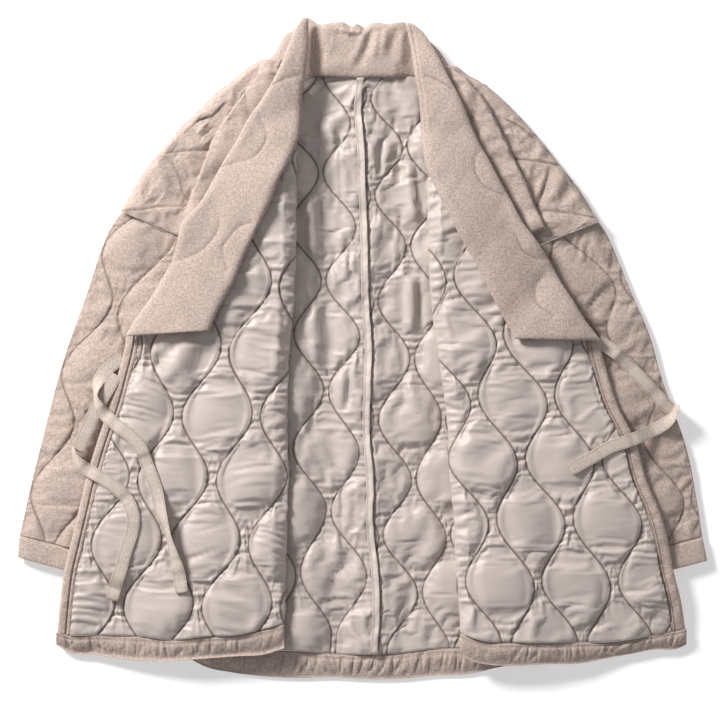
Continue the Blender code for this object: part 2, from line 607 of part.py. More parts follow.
def band(side, bed, pile):
    """The collar band down one side of the neck and front."""
    table = BAND[side]
    outer = smooth([row.level for row in table], [row.outer for row in table])
    inner = smooth([row.level for row in table], [row.inner for row in table])
    rows = np.concatenate([[table[0].level, 404, 395], levels(380, table[-1].level, 22)])
    a, b = outer(rows)[:, None], inner(rows)[:, None]
    across = np.array([[0, 0.06, 0.2, 0.42, 0.64, 0.84, 0.95, 1]])
    x = a + (b - a) * across
    y = rows[:, None] + 0 * x
    width = np.abs(b - a)
    ends = np.minimum(y.max() - y, y - y.min())
    radius = np.minimum(EDGE_RADIUS, 0.45 * width)
    share = (rounded(across * width, FREE, radius) * rounded((1 - across) * width, FREE, radius)
             * rounded(ends, 0.4, 8))
    ripple = 0.5 + 0.5 * np.cos(2 * np.pi * (1.5 * across - y / 150))
    low, high = padded_wall(bed(x, y), BAND_PAD, BAND_PUFF * ripple, share)
    solid("band_" + side, SHELL, x, y, low, high, pile)


def collar_back(pile):
    """The band behind the neck, whose ends run under the side bands."""
    ends = np.array([row.x for row in COLLAR], float)
    pad = np.interp(ends, (-118, -70, -45, 40, 60, 108), (6, 8, COLLAR_PAD, COLLAR_PAD, 8, 6))
    strip_along_x("collar_back", SHELL, COLLAR, floor, pad, ends,
                  np.array([0, 0.08, 0.3, 0.55, 0.8, 1]), (FREE, SEAM, FREE), pile, 2.0)


def centre_binding(bed, pile):
    centre = outline(CENTRE_SEAM)
    rows = levels(337, -380, 30)[:, None]
    x = centre(rows) + np.array([[-4.5, 0, 4.5]])
    y = rows + 0 * x
    low = bed(x, y)
    solid("centre_back_binding", BINDING, x, y, low, low + BINDING_PAD * np.array([[0.5, 1, 0.5]]), pile)


def tie(name, bed, pile):
    """A flat tape along its route, rolled on to its edge where the route says."""
    route = TIE[name]
    count = np.arange(len(route))
    t = np.linspace(0, len(route) - 1, 2 * len(route) - 1)
    x, y, roll = (smooth(count, [row[k] for row in route])(t) for k in range(3))
    along = np.array([np.gradient(x), np.gradient(y)])
    along = along / np.hypot(*along)
    roll = np.radians(np.clip(roll, 0, 90))
    offset = TAPE_WIDTH * np.array([[-0.5, 0, 0.5]])
    flat = offset * np.cos(roll)[:, None]
    px, py = x[:, None] - along[1][:, None] * flat, y[:, None] + along[0][:, None] * flat
    ground = np.max(bed(px, py), axis=1, keepdims=True)
    low = ground + (offset + TAPE_WIDTH / 2) * np.sin(roll)[:, None]
    thick = TAPE_PAD / np.maximum(np.cos(roll), 0.4)[:, None]
    solid(name, TAPE, px, py, low, low + thick, pile)


def build_coat():
    pile = Pile()
    for side in ("left", "right"):
        back_half(side, pile)
    hem_strip("back", floor, pile)
    collar_back(pile)
    centre_binding(pile.bed(4, 0.5), pile)
    on_back = pile.bed(12, 0.4)
    on_body = pile.bed(22, 0.3)
    for side in ("left", "right"):
        shoulder(side, on_body, pile)
        sleeve(side, pile)
        cuff(side, pile)
    front_bed = pile.bed(24, 0.15)
    for side in ("left", "right"):
        front(side, front_bed, on_back, pile)
        front_edge(side, front_bed, pile)
        hem_strip(side, front_bed, pile)
    band_bed = pile.bed(22, 0.25)
    for side in ("left", "right"):
        band(side, band_bed, pile)
    for name in TIE:
        tie(name, pile.bed(7, 0.6), pile)


def clear_scene():
    for thing in list(bpy.data.objects):
        bpy.data.objects.remove(thing)


clear_scene()
build_coat()
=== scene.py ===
"""The looks of a wide wrap coat of padded, onion-quilted cloth, laid on its back with both fronts folded open.

The floor is Z = 0, +Y runs from the hem to the collar and +X is to the right of someone who looks down on
the coat. Left and right are as that person sees them. Tables and lengths are in millimetres from the
middle of the spread coat, and the meshes are in metres.
"""

import math
from collections import namedtuple

import bmesh
import bpy
import numpy as np
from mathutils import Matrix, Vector


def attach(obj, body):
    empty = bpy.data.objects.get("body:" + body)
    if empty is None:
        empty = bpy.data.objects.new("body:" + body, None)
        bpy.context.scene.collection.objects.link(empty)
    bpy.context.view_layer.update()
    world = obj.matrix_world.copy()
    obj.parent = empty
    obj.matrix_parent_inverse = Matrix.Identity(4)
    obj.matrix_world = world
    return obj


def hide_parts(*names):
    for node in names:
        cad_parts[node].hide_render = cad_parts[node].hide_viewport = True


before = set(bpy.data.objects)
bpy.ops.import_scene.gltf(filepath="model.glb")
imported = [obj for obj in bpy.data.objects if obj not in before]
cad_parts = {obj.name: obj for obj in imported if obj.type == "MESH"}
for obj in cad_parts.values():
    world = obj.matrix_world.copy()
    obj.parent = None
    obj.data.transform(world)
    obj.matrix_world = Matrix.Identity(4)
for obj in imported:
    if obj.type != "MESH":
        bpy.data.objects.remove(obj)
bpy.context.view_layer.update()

MM = 0.001

# Walls, as in the solids
SEAM_GAP = 0.4  # between neighbours that are sewn together
LAY_GAP = 0.5  # between a layer and what it lies on
BACK_PAD = 6.0  # a padded panel at its sewn lines
FRONT_PAD = 6.5
SLEEVE_PAD = 14.0  # both layers of a flattened sleeve
BAND_PAD = 9.0
COLLAR_PAD = 15.0
HEM_PAD = 8.0
EDGE_PAD = 6.0
BINDING_PAD = 2.5
TAPE_PAD = 1.6
TAPE_WIDTH = 16.0
BACK_PUFF = 4.0  # how far a bubble of the quilting stands over its sewn lines
FRONT_PUFF = 5.0
SLEEVE_PUFF = 5.0
TUCK_RISE = 9.0  # the long fold that runs from the neck to the armhole
TUCK_SPREAD = 30.0
LIP = 6.5  # how far the turned-back front wraps the layer under it at the fold
LIP_ROOM = 4.0
BACK_INSET = 2.0  # from the edge of a shoulder to the edge of the back half under it

# How each kind of panel swells: pressure, how much longer the cloth is than its place, bending stiffness,
# stretching stiffness and mass of a point
SWELLING = {
    "front": (1.3, 0.12, 0.012, 5, 0.01),
    "back": (0.7, 0.1, 0.02, 5, 0.01),
    "sleeve": (1.3, 0.05, 0.15, 8, 0.015),
    "shoulder": (1.0, 0.05, 0.1, 8, 0.02),
}
MOST_UP = 6.0  # how far a point may rise, and move sideways, while the cloth swells
MOST_SIDEWAYS = 1.2
STEADY = 9.0  # how close to a sewn line the cloth moves sideways less
HEM_HOLD = 9.0  # how close to its lower end a panel is held down and swells less
SWELLING_FRAMES = 16
SEAM_FAR = 9.0  # the materials take everything further from a sewn line than this as plain cloth

# What is left of a wall's thickness at its edge
FREE, SEAM = 0.14, 0.62
EDGE_RADIUS = 10.0

Outline = namedtuple("Outline", "level x")
Strip = namedtuple("Strip", "level outer inner")
Section = namedtuple("Section", "outer_x outer_y inner_x inner_y")
Hem = namedtuple("Hem", "x top bottom")
Route = namedtuple("Route", "x y roll")
Quilting = namedtuple("Quilting", "first lean spacing crests")

# The shoulder, from the neck out to the armhole, as the outline of both body layers
SHOULDER = {
    "left": [Outline(*row) for row in (
        (360, -128), (350, -143), (337, -159), (320, -181), (297, -204), (275, -227),
        (255, -244), (235, -262), (211, -279), (188, -292), (171, -301))],
    "right": [Outline(*row) for row in (
        (352, 118), (342, 131), (330, 152), (312, 174), (293, 193), (267, 216),
        (236, 241), (208, 263), (185, 279), (158, 295))],
}
NECK_LINE = 340.5  # just below the seam of the collar
UNDERARM = {"left": (-159, 113), "right": (163, 108)}
# The side seam, which the folded fronts hide, from the underarm to the hem
SIDE_SEAM = {
    "left": [Outline(*row) for row in ((113, -159), (61, -167), (-64, -184), (-189, -199), (-378, -214))],
    "right": [Outline(*row) for row in ((108, 163), (61, 168), (-64, 184), (-189, 196), (-378, 204))],
}
CENTRE_SEAM = [Outline(*row) for row in (
    (338, -2), (302, -6), (248, -2), (186, 0), (136, 2), (68, 3), (2, 7), (-45, 6),
    (-103, 4), (-164, 9), (-222, 9), (-270, 14), (-314, 17), (-381, 14))]
# The long tuck on each shoulder, down to where the collar band hides it
TUCK = {
    "left": [Outline(*row) for row in (
        (360, -123), (337, -133), (320, -146), (297, -163), (275, -178), (255, -189),
        (235, -196), (211, -205), (188, -215), (157, -223))],
    "right": [Outline(*row) for row in (
        (352, 113), (330, 139), (312, 150), (293, 161), (267, 174), (236, 189),
        (208, 203), (185, 212), (150, 228))],
}
# Where the shoulder layer ends under the collar band, above the fold of the front
SHOULDER_INNER = {
    "left": [Outline(*row) for row in ((360, -121), (340.5, -111.5), (337, -97), (300, -94), (246, -91))],
    "right": [Outline(*row) for row in ((352, 111), (340.5, 110), (337, 97), (300, 92), (213, 88))],
}
# The fold of each front, over the back
FOLD = {
    "left": [Outline(*row) for row in (
        (246, -82), (168, -82), (75, -84), (6, -90), (-70, -93), (-164, -92), (-245, -94),
        (-298, -96), (-370, -96))],
    "right": [Outline(*row) for row in (
        (213, 79), (168, 81), (75, 84), (36, 88), (6, 93), (-29, 97), (-70, 103), (-164, 109),
        (-208, 113), (-298, 117), (-337, 121), (-370, 119))],
}
# The free edge of each front, below the collar band
FRONT_EDGE = {
    "left": [Outline(*row) for row in (
        (24, -293), (11, -294), (-29, -303), (-70, -314), (-114, -329), (-164, -344),
        (-202, -353), (-240, -362), (-277, -371), (-312, -376), (-360, -381))],
    "right": [Outline(*row) for row in (
        (20, 293), (2, 296), (-29, 304), (-70, 317), (-114, 339), (-164, 353), (-202, 369),
        (-240, 380), (-277, 387), (-312, 396), (-360, 404))],
}
EDGE_WIDTH = {"left": 16.0, "right": 17.5}
# How far the turned-back front reaches under the collar band
FRONT_UNDER_BAND = {
    "left": [Outline(*row) for row in (
        (246, -95), (211, -118), (168, -137), (120, -160), (75, -180), (50, -194), (36, -207),
        (30, -240), (25, -268), (20, -277.5))],
    "right": [Outline(*row) for row in (
        (213, 95), (180, 117), (136, 139), (83, 168), (61, 179), (38, 192), (30, 207),
        (24, 245), (19, 270), (14, 277))],
}
BAND = {
    "left": [Strip(*row) for row in (
        (411, -75, -67), (401, -82, -67), (373, -93, -67), (338, -108, -71), (310, -124, -75),
        (286, -141, -77), (258, -156, -80), (232, -172, -91), (207, -186, -104), (180, -202, -114),
        (157, -223, -126), (136, -229, -136), (110, -236, -148), (83, -251, -159), (61, -264, -171),
        (38, -282, -182), (18, -294, -189))],
    "right": [Strip(*row) for row in (
        (405, 61, 53), (401, 67, 54), (373, 88, 60), (338, 106, 65), (310, 121, 70), (286, 131, 72),
        (258, 143, 74), (232, 158, 77), (207, 171, 86), (180, 186, 100), (157, 198, 111),
        (136, 214, 122), (110, 231, 137), (83, 246, 151), (61, 260, 162), (38, 275, 175),
        (13, 296, 189))],
}
BAND_STITCH = 6.0  # from the inner edge of the right band to the line sewn beside it
BAND_END = {"left": (-3.0, 4.0), "right": (-3.5, -1.0)}  # how far its corners are from the last level
COLLAR = [Hem(*row) for row in (
    (-118, 360, 357), (-108, 372, 343), (-98, 390, 342), (-84, 401, 342), (-76, 411, 343),
    (-67, 413, 342), (-56, 406, 342), (-39, 407, 341), (-24, 408, 340), (-14, 403, 340),
    (-7, 406, 339), (3, 401, 339), (11, 406, 340), (33, 406, 340), (52, 408, 341), (61, 405, 341),
    (69, 398, 341), (83, 385, 341), (97, 371, 342), (108, 354, 343))]
# The sleeves, each row a section from the folded outer side to the hidden inner side
SLEEVE = {
    "left": [Section(*row) for row in (
        (-301, 171, -161, 112), (-321, 136, -173, 61), (-346, 63, -187, -2), (-371, -8, -202, -64),
        (-391, -80, -218, -127), (-412, -164, -235, -195), (-422, -208, -244, -236),
        (-428, -233, -252, -277))],
    "right": [Section(*row) for row in (
        (295, 158, 165, 107), (308, 136, 174, 55), (334, 73, 188, -5), (358, 17, 203, -68),
        (374, -39, 219, -130), (403, -120, 237, -199), (416, -183, 247, -240),
        (424, -235, 254, -277))],
}
CUFF_END = {"left": Section(-430, -260, -262, -305), "right": Section(430, -264, 266, -307)}
HEM = {
    "left": [Hem(*row) for row in (
        (-382, -353, -369), (-368, -357, -378), (-334, -357, -382), (-281, -358, -388),
        (-237, -362, -388), (-196, -358, -385), (-154, -356, -382), (-123, -349, -380),
        (-97, -342, -372))],
    "right": [Hem(*row) for row in (
        (121, -353, -377), (130, -357, -385), (153, -364, -392), (186, -365, -394),
        (231, -366, -392), (267, -365, -392), (309, -366, -385), (338, -362, -380),
        (364, -357, -375), (393, -351, -374), (404, -349, -369))],
    "back": [Hem(*row) for row in (
        (-214, -378, -388), (-196, -378, -397), (-164, -377, -404), (-123, -377, -409),
        (-78, -378, -411), (-39, -381, -410), (6, -382, -412.4), (49, -380, -412), (88, -375, -408),
        (139, -374, -405), (164, -374, -399), (203, -374, -392))],
}
# The tapes: a route down the middle of each stretch, and how far the tape is rolled on to its edge
TIE = {
    "tie_left_upper": [Route(*row) for row in (
        (-297, -13, 0), (-309, -19, 0), (-321, -30, 5), (-329, -43, 30), (-331, -57, 68), (-327, -71, 35),
        (-318, -83, 5), (-304, -95, 0), (-287, -108, 0), (-275, -122, 0), (-267, -143, 0),
        (-256, -172, 0), (-250, -200, 25), (-241, -229, 60), (-234, -253, 45), (-227, -279, 10),
        (-224, -303, 0))],
    "tie_left_lower": [Route(*row) for row in (
        (-306, -32, 0), (-316, -51, 0), (-329, -73, 0), (-342, -100, 0), (-354, -128, 0))],
    "tie_left_lower_end": [Route(*row) for row in (
        (-360, -122, 75), (-355, -136, 50), (-343, -149, 15), (-323, -160, 0), (-303, -174, 0), (-290, -190, 0),
        (-284, -208, 0), (-286, -229, 0), (-293, -250, 0), (-299, -272, 0), (-306, -293, 0),
        (-311, -312, 0))],
    "tie_right": [Route(*row) for row in (
        (293, 10, 0), (303, 3, 0), (318, -8, 0), (338, -28, 0), (359, -50, 0), (377, -69, 0), (386, -77, 0))],
    "tie_right_end": [Route(*row) for row in (
        (392, -70, 75), (386, -84, 50), (372, -96, 12), (349, -107, 0), (328, -115, 0), (307, -122, 0),
        (284, -135, 0), (257, -150, 0))],
}
TUCKED = ("tie_left_upper", "tie_left_lower", "tie_right")
# Sewn lines: the first one's distance from the edge they are counted from, how fast it leans away
# from that edge going down, their spacing, and the levels where the even lines sway outwards
QUILTING = {
    "back_left": Quilting(29, 0, 44, (345, 220, 85, -52, -202, -360)),
    "back_right": Quilting(34, 0, 42, (376, 252, 128, -12, -164, -305, -450)),
    "front_left": Quilting(14, 0.09, 48.8, (396, 238, 80, -82, -240, -396)),
    "front_right": Quilting(14, 0.075, 47.5, (389, 238, 87, -64, -215, -370)),
    "sleeve_left": Quilting(18, 0, 43, (354, 203, 52, -99, -250, -400)),
    "sleeve_right": Quilting(33, 0, 43, (283, 148, 13, -122, -258, -393)),
}
# Sewn lines that are listed one by one on the collar bands and shoulders
BAND_LINES = {
    "left": [
        [(-128, 287), (-119, 265), (-122, 253), (-134, 238), (-159, 230), (-176, 225)],
        [(-188, 180), (-178, 162), (-179, 148), (-188, 133), (-207, 117), (-238, 107)],
        [(-137, 156), (-152, 151), (-168, 133), (-173, 122), (-168, 96)],
        [(-112, 326), (-96, 334), (-78, 339)]],
    "right": [
        [(150, 250), (140, 236), (140, 218), (152, 200), (176, 190)],
        [(190, 140), (198, 122), (214, 112), (232, 112)],
        [(226, 92), (214, 76), (216, 56), (236, 40)],
        [(110, 322), (94, 332), (78, 338)]],
}
SHOULDER_LINES = {
    "left": [
        [(-246, 243), (-220, 246), (-190, 247)],
        [(-237, 232), (-228, 212), (-223, 193), (-217, 184)],
        [(-300, 172), (-274, 173), (-252, 177), (-219, 178)],
        [(-146, 318), (-145, 303), (-139, 288)],
        [(-222, 268), (-205, 283), (-186, 290), (-170, 306)]],
    "right": [
        [(244, 228), (222, 232), (190, 236)],
        [(232, 222), (226, 200), (216, 176)],
        [(292, 162), (262, 168), (226, 172)],
        [(140, 312), (141, 298), (134, 284)],
        [(212, 262), (196, 276), (180, 284)]],
}
Crease = namedtuple("Crease", "x0 y0 x1 y1 spread depth")
SHOULDER_CREASES = {
    "left": [Crease(*row) for row in (
        (-217, 184, -246, 214, 5, -2.6), (-217, 184, -236, 226, 4, 2.2), (-217, 184, -262, 196, 6, -2.2),
        (-215, 188, -219, 236, 5, -2.0), (-217, 186, -228, 240, 4, 1.8), (-190, 290, -212, 276, 4, -2.6),
        (-186, 284, -208, 268, 3.5, 2.2), (-184, 278, -204, 260, 3.5, -2.6), (-180, 270, -200, 252, 3, 2.0),
        (-178, 262, -196, 246, 3, -2.2), (-232, 262, -216, 244, 6, 1.8), (-208, 292, -196, 268, 5, 1.8),
        (-258, 232, -240, 200, 8, 2.4), (-282, 202, -256, 186, 8, 2.0), (-150, 330, -172, 306, 7, 2.0))],
    "right": [Crease(*row) for row in (
        (214, 180, 240, 206, 5, -2.4), (214, 182, 228, 222, 4, 2.0), (216, 178, 262, 190, 6, -2.0),
        (212, 184, 212, 228, 5, -1.8), (184, 280, 204, 266, 4, -2.4), (180, 272, 200, 256, 3.5, 2.2),
        (178, 264, 196, 248, 3.5, -2.4), (174, 254, 192, 240, 3, 1.8), (228, 250, 212, 234, 6, 1.6),
        (252, 222, 236, 194, 8, 2.2), (276, 192, 250, 178, 8, 1.8), (146, 322, 168, 298, 7, 2.0))],
}
# Thin straight creases from folding, and the soft folds and gathers of the left front's top corner
PANEL_CREASES = [Crease(*row) for row in (
    (224, -277, 297, -278, 1.3, -1.0), (231, -313, 302, -322, 1.3, -1.0), (184, -247, 244, -247, 1.3, -0.9),
    (334, -313, 379, -333, 1.3, -1.0), (47, -240, 68, -240, 1.3, -1.0), (84, -307, 116, -307, 1.3, -1.0),
    (-219, -285, -172, -285, 1.3, -1.0), (-139, -264, -94, -264, 1.3, -1.0), (-134, -283, -97, -283, 1.3, -0.9),
    (-262, -307, -216, -307, 1.3, -0.9), (-227, 12, -262, -28, 7, -3.0), (-205, 17, -246, -42, 9, 3.0),
    (-186, 18, -214, -34, 8, -2.2), (-276, 16, -282, -40, 2.2, -2.0), (-269, 16, -275, -44, 2.2, 1.6),
    (-263, 15, -268, -36, 2.4, -2.2), (-257, 12, -262, -40, 2.4, 1.6), (-252, 14, -258, -30, 2.4, -1.8),
    (-270, -32, -236, -50, 3, 1.8), (-264, -40, -232, -58, 3, -1.8),
    (-66, 200, -58, 100, 8, 2.2), (-53, 202, -45, 100, 7, -3.0), (-58, 70, -57, -40, 9, 2.2),
    (-46, 72, -46, -40, 8, -3.0), (60, 92, 62, 20, 7, 3.2), (68, 90, 69, 22, 5, -2.6),
    (58, 212, 66, 160, 6, 3.2), (66, 208, 73, 160, 5, -2.4), (-43, 292, -34, 232, 7, 2.6),
    (-22, 290, -30, 236, 6, -2.4), (32, 262, 28, 208, 5, 3.0), (44, 258, 47, 204, 5, -2.6),
    (62, 252, 56, 200, 6, 2.6), (74, 330, 82, 262, 6, -2.4), (-26, 150, -22, 84, 6, 2.4),
    (-58, 120, -56, 52, 5, -2.6), (-40, 118, -36, 60, 6, 2.4), (22, 96, 26, 28, 6, -2.4),
    (66, 150, 60, 84, 6, -2.4), (-30, -10, -26, -76, 7, 2.6), (-62, -40, -66, -110, 6, -2.4),
    (60, -30, 66, -96, 7, 2.4), (-34, -210, -30, -280, 7, 2.4))]
COLLAR_CREASES = [Crease(*row) for row in (
    (-24, 404, -12, 396, 3, -4.0), (-12, 397, 4, 400, 3, -4.0), (4, 400, -2, 391, 3, -3.0),
    (0, 391, -18, 389, 3, -3.2), (-16, 390, -36, 393, 3.5, -2.4), (-28, 399, -8, 386, 6, 3.0),
    (13, 400, 3, 366, 5, -3.2), (4, 372, -6, 350, 5, -2.4), (22, 396, 12, 360, 5, 2.8),
    (42, 404, 34, 358, 6, -2.2), (30, 400, 24, 372, 4, 1.8), (-60, 400, -34, 372, 9, 1.6),
    (-52, 352, -8, 356, 8, 1.4), (52, 398, 46, 352, 5, 2.0))]
LEAN_LEVEL = -80  # where a leaning line is at its first distance
SWAY = {"back": 0.43, "front": 0.39, "sleeve": 0.38}  # how far a line sways, as a share of the spacing


def smooth(stations, values):
    """A curve through the values, as a function of the station."""
    order = np.argsort(stations)
    t, v = np.array(stations, float)[order], np.array(values, float)[order]
    step, rise = np.diff(t), np.diff(v)
    slope = rise / step
    tangent = np.concatenate(
        [slope[:1], (step[1:] * slope[:-1] + step[:-1] * slope[1:]) / (step[1:] + step[:-1]), slope[-1:]])

    def at(station):
        s = np.clip(np.asarray(station, float), t[0], t[-1])
        k = np.clip(np.searchsorted(t, s) - 1, 0, len(step) - 1)
        u = (s - t[k]) / step[k]
        return (v[k] + rise[k] * (3 * u**2 - 2 * u**3)
                + step[k] * (tangent[k] * (u - 2 * u**2 + u**3) + tangent[k + 1] * (u**3 - u**2)))

    return at


def outline(rows):
    return smooth([row.level for row in rows], [row.x for row in rows])


def body_side(side):
    """The outer edge of both body layers: shoulder, straight armhole, side seam."""
    shoulder, seam = outline(SHOULDER[side]), outline(SIDE_SEAM[side])
    tip, underarm = SHOULDER[side][-1], UNDERARM[side]

    def at(level):
        armhole = np.interp(level, (underarm[1], tip.level), (underarm[0], tip.x))
        below = np.where(level < underarm[1], seam(level), armhole)
        return np.where(level > tip.level, shoulder(level), below)

    return at


class Lines:
    """The wavy sewn lines of a piece. Neighbours mirror each other, so the cloth swells into onion shapes."""

    def __init__(self, name):
        self.first, self.lean, self.spacing, crests = QUILTING[name]
        self.sway = SWAY[name.split("_")[0]]
        self.levels, self.turns = np.array(crests[::-1], float), np.arange(len(crests))[::-1]

    def at(self, number, level):
        """The distance of a line from the edge that the lines are counted from."""
        wave = np.cos(2 * np.pi * np.interp(level, self.levels, self.turns))
        lean = self.lean * (LEAN_LEVEL - level)
        sign = 1 - 2 * (np.asarray(number) % 2)
        return self.first + lean + self.spacing * (number + self.sway * sign * wave)

    def channel(self, distance, level):
        """Which two lines a place lies between: the first one's number, and the distances of both."""
        number = np.floor((distance - self.at(0, level)) / self.spacing).astype(int)
        for _ in range(2):
            number = np.where(distance < self.at(number, level) - 1e-6, number - 1, number)
            number = np.where(distance >= self.at(number + 1, level) - 1e-6, number + 1, number)
        return number, self.at(number, level), self.at(number + 1, level)

    def relief(self, distance, level):
        """How far the cloth stands over its sewn lines, from 0 to about 1."""
        _, low, high = self.channel(distance, level)
        share = np.clip((distance - low) / (high - low), 0, 1)
        return np.sqrt(4 * share * (1 - share)) * np.clip((high - low) / self.spacing, 0.2, 1.4) ** 0.6

    def away(self, distance, level):
        """How far a place is from the nearest sewn line, square to it."""
        number, low, high = self.channel(distance, level)
        nearest = np.where(distance - low < high - distance, number, number + 1)
        slope = (self.at(nearest, level + 1) - self.at(nearest, level - 1)) / 2
        return np.minimum(distance - low, high - distance) / np.hypot(1, slope)


class Pile:
    """The height of everything laid so far, on a raster over the floor."""

    CELL = 4.0
    HALF = 460.0

    def __init__(self):
        self.side = int(2 * self.HALF / self.CELL) + 1
        self.height = np.zeros((self.side, self.side))

    def add(self, x, y, high):
        """Lays a surface on the raster, filled in until its points are closer than the cells."""
        parts = np.array([x, y, high])
        while max(np.abs(np.diff(parts[:2], axis=axis)).max() for axis in (1, 2)) > self.CELL:
            for axis in (1, 2):
                if np.abs(np.diff(parts[:2], axis=axis)).max() > self.CELL:
                    parts = np.moveaxis(parts, axis, 1)
                    filled = np.empty((3, 2 * parts.shape[1] - 1, parts.shape[2]))
                    filled[:, ::2], filled[:, 1::2] = parts, (parts[:, 1:] + parts[:, :-1]) / 2
                    parts = np.moveaxis(filled, 1, axis)
        i = np.rint((parts[0] + self.HALF) / self.CELL).astype(int)
        j = np.rint((parts[1] + self.HALF) / self.CELL).astype(int)
        np.maximum.at(self.height, (i, j), parts[2])

    @staticmethod
    def shifted(field, i, j):
        padded = np.pad(field, ((abs(i), abs(i)), (abs(j), abs(j))))
        return padded[abs(i) + i:abs(i) + i + field.shape[0], abs(j) + j:abs(j) + j + field.shape[1]]

    def bed(self, reach, slope, soft=2):
        """A smooth surface over the pile, level within reach of what is under it and no steeper than slope."""
        cells = int(math.ceil(reach / self.CELL))
        steps = [(i, j) for i in range(-cells, cells + 1) for j in range(-cells, cells + 1)
                 if i * i + j * j <= cells * cells]
        field = np.max([self.shifted(self.height, i, j) for i, j in steps], axis=0)
        around = [(i, j) for i in (-1, 0, 1) for j in (-1, 0, 1) if i or j]
        for _ in range(self.side):
            lower = np.max([self.shifted(field, i, j) - slope * self.CELL * math.hypot(i, j)
                            for i, j in around], axis=0)
            if (lower <= field + 1e-6).all():
                break
            field = np.maximum(field, lower)
        for _ in range(soft):
            field = sum(self.shifted(field, i, j) for i in (-1, 0, 1) for j in (-1, 0, 1)) / 9

        def at(x, y):
            u = np.clip((np.asarray(x) + self.HALF) / self.CELL, 0, self.side - 1.001)
            v = np.clip((np.asarray(y) + self.HALF) / self.CELL, 0, self.side - 1.001)
            i, j = u.astype(int), v.astype(int)
            u, v = u - i, v - j
            return ((1 - u) * (1 - v) * field[i, j] + u * (1 - v) * field[i + 1, j]
                    + (1 - u) * v * field[i, j + 1] + u * v * field[i + 1, j + 1] + LAY_GAP)

        return at


def floor(x, _y):
    return np.zeros_like(x)


def rounded(distance, left_over, radius=EDGE_RADIUS):
    """The share of its thickness that a padded wall has at this distance from its edge."""
    near = 1 - np.clip(distance / radius, 0, 1)
    return left_over + (1 - left_over) * np.sqrt(1 - near**2)


def waves(u, v, seed):
    """Smooth random waves between -1 and 1, about one bump to each step of 1."""
    table = np.random.default_rng(seed).uniform(-1, 1, (97, 89))
    u, v = np.broadcast_arrays(np.asarray(u, float), np.asarray(v, float))
    i, j = np.floor(u).astype(int), np.floor(v).astype(int)
    a, b = u - i, v - j
    a, b = a * a * (3 - 2 * a), b * b * (3 - 2 * b)
    corner = [[table[(i + p) % 97, (j + q) % 89] for q in (0, 1)] for p in (0, 1)]
    return ((1 - a) * ((1 - b) * corner[0][0] + b * corner[0][1])
            + a * ((1 - b) * corner[1][0] + b * corner[1][1]))


def creased(x, y, creases):
    """Soft troughs and ridges, each along its own straight stretch and with a smaller one beside it."""
    height = np.zeros_like(x)
    for c in creases:
        length = math.hypot(c.x1 - c.x0, c.y1 - c.y0)
        part = ((x - c.x0) * (c.x1 - c.x0) + (y - c.y0) * (c.y1 - c.y0)) / length**2
        off = ((x - c.x0) * (c.y1 - c.y0) - (y - c.y0) * (c.x1 - c.x0)) / length / c.spread
        ends = np.clip(1 - np.abs(2 * part - 1) ** 3, 0, 1)
        height = height + c.depth * ends * (np.exp(-off**2) - 0.45 * np.exp(-(off - 1.7) ** 2))
    return height


def beside(x, y, routes):
    """How far each place is from the nearest of some sewn lines."""
    nearest = np.full(x.shape, 99.0)
    for route in routes:
        count = np.arange(len(route))
        t = np.linspace(0, len(route) - 1, 60)
        line_x, line_y = (smooth(count, [point[k] for point in route])(t) for k in (0, 1))
        apart = np.hypot(x[..., None] - line_x, y[..., None] - line_y).min(axis=-1)
        nearest = np.minimum(nearest, apart)
    return nearest


def sign_of(side):
    return -1 if side == "left" else 1


# Materials

def linear(code):
    """A colour given as an sRGB hex value, as Blender's linear light."""
    channels = [int(code[k:k + 2], 16) / 255 for k in (1, 3, 5)]
    return [c / 12.92 if c <= 0.04045 else ((c + 0.055) / 1.055) ** 2.4 for c in channels] + [1.0]


def add_node(tree, kind, inputs=(), **settings):
    """Adds a node, sets its properties, and sets or links its inputs."""
    made = tree.nodes.new(kind)
    for key, value in settings.items():
        setattr(made, key, value)
    for key, value in dict(inputs).items():
        if isinstance(value, bpy.types.NodeSocket):
            tree.links.new(value, made.inputs[key])
        else:
            made.inputs[key].default_value = value
    return made


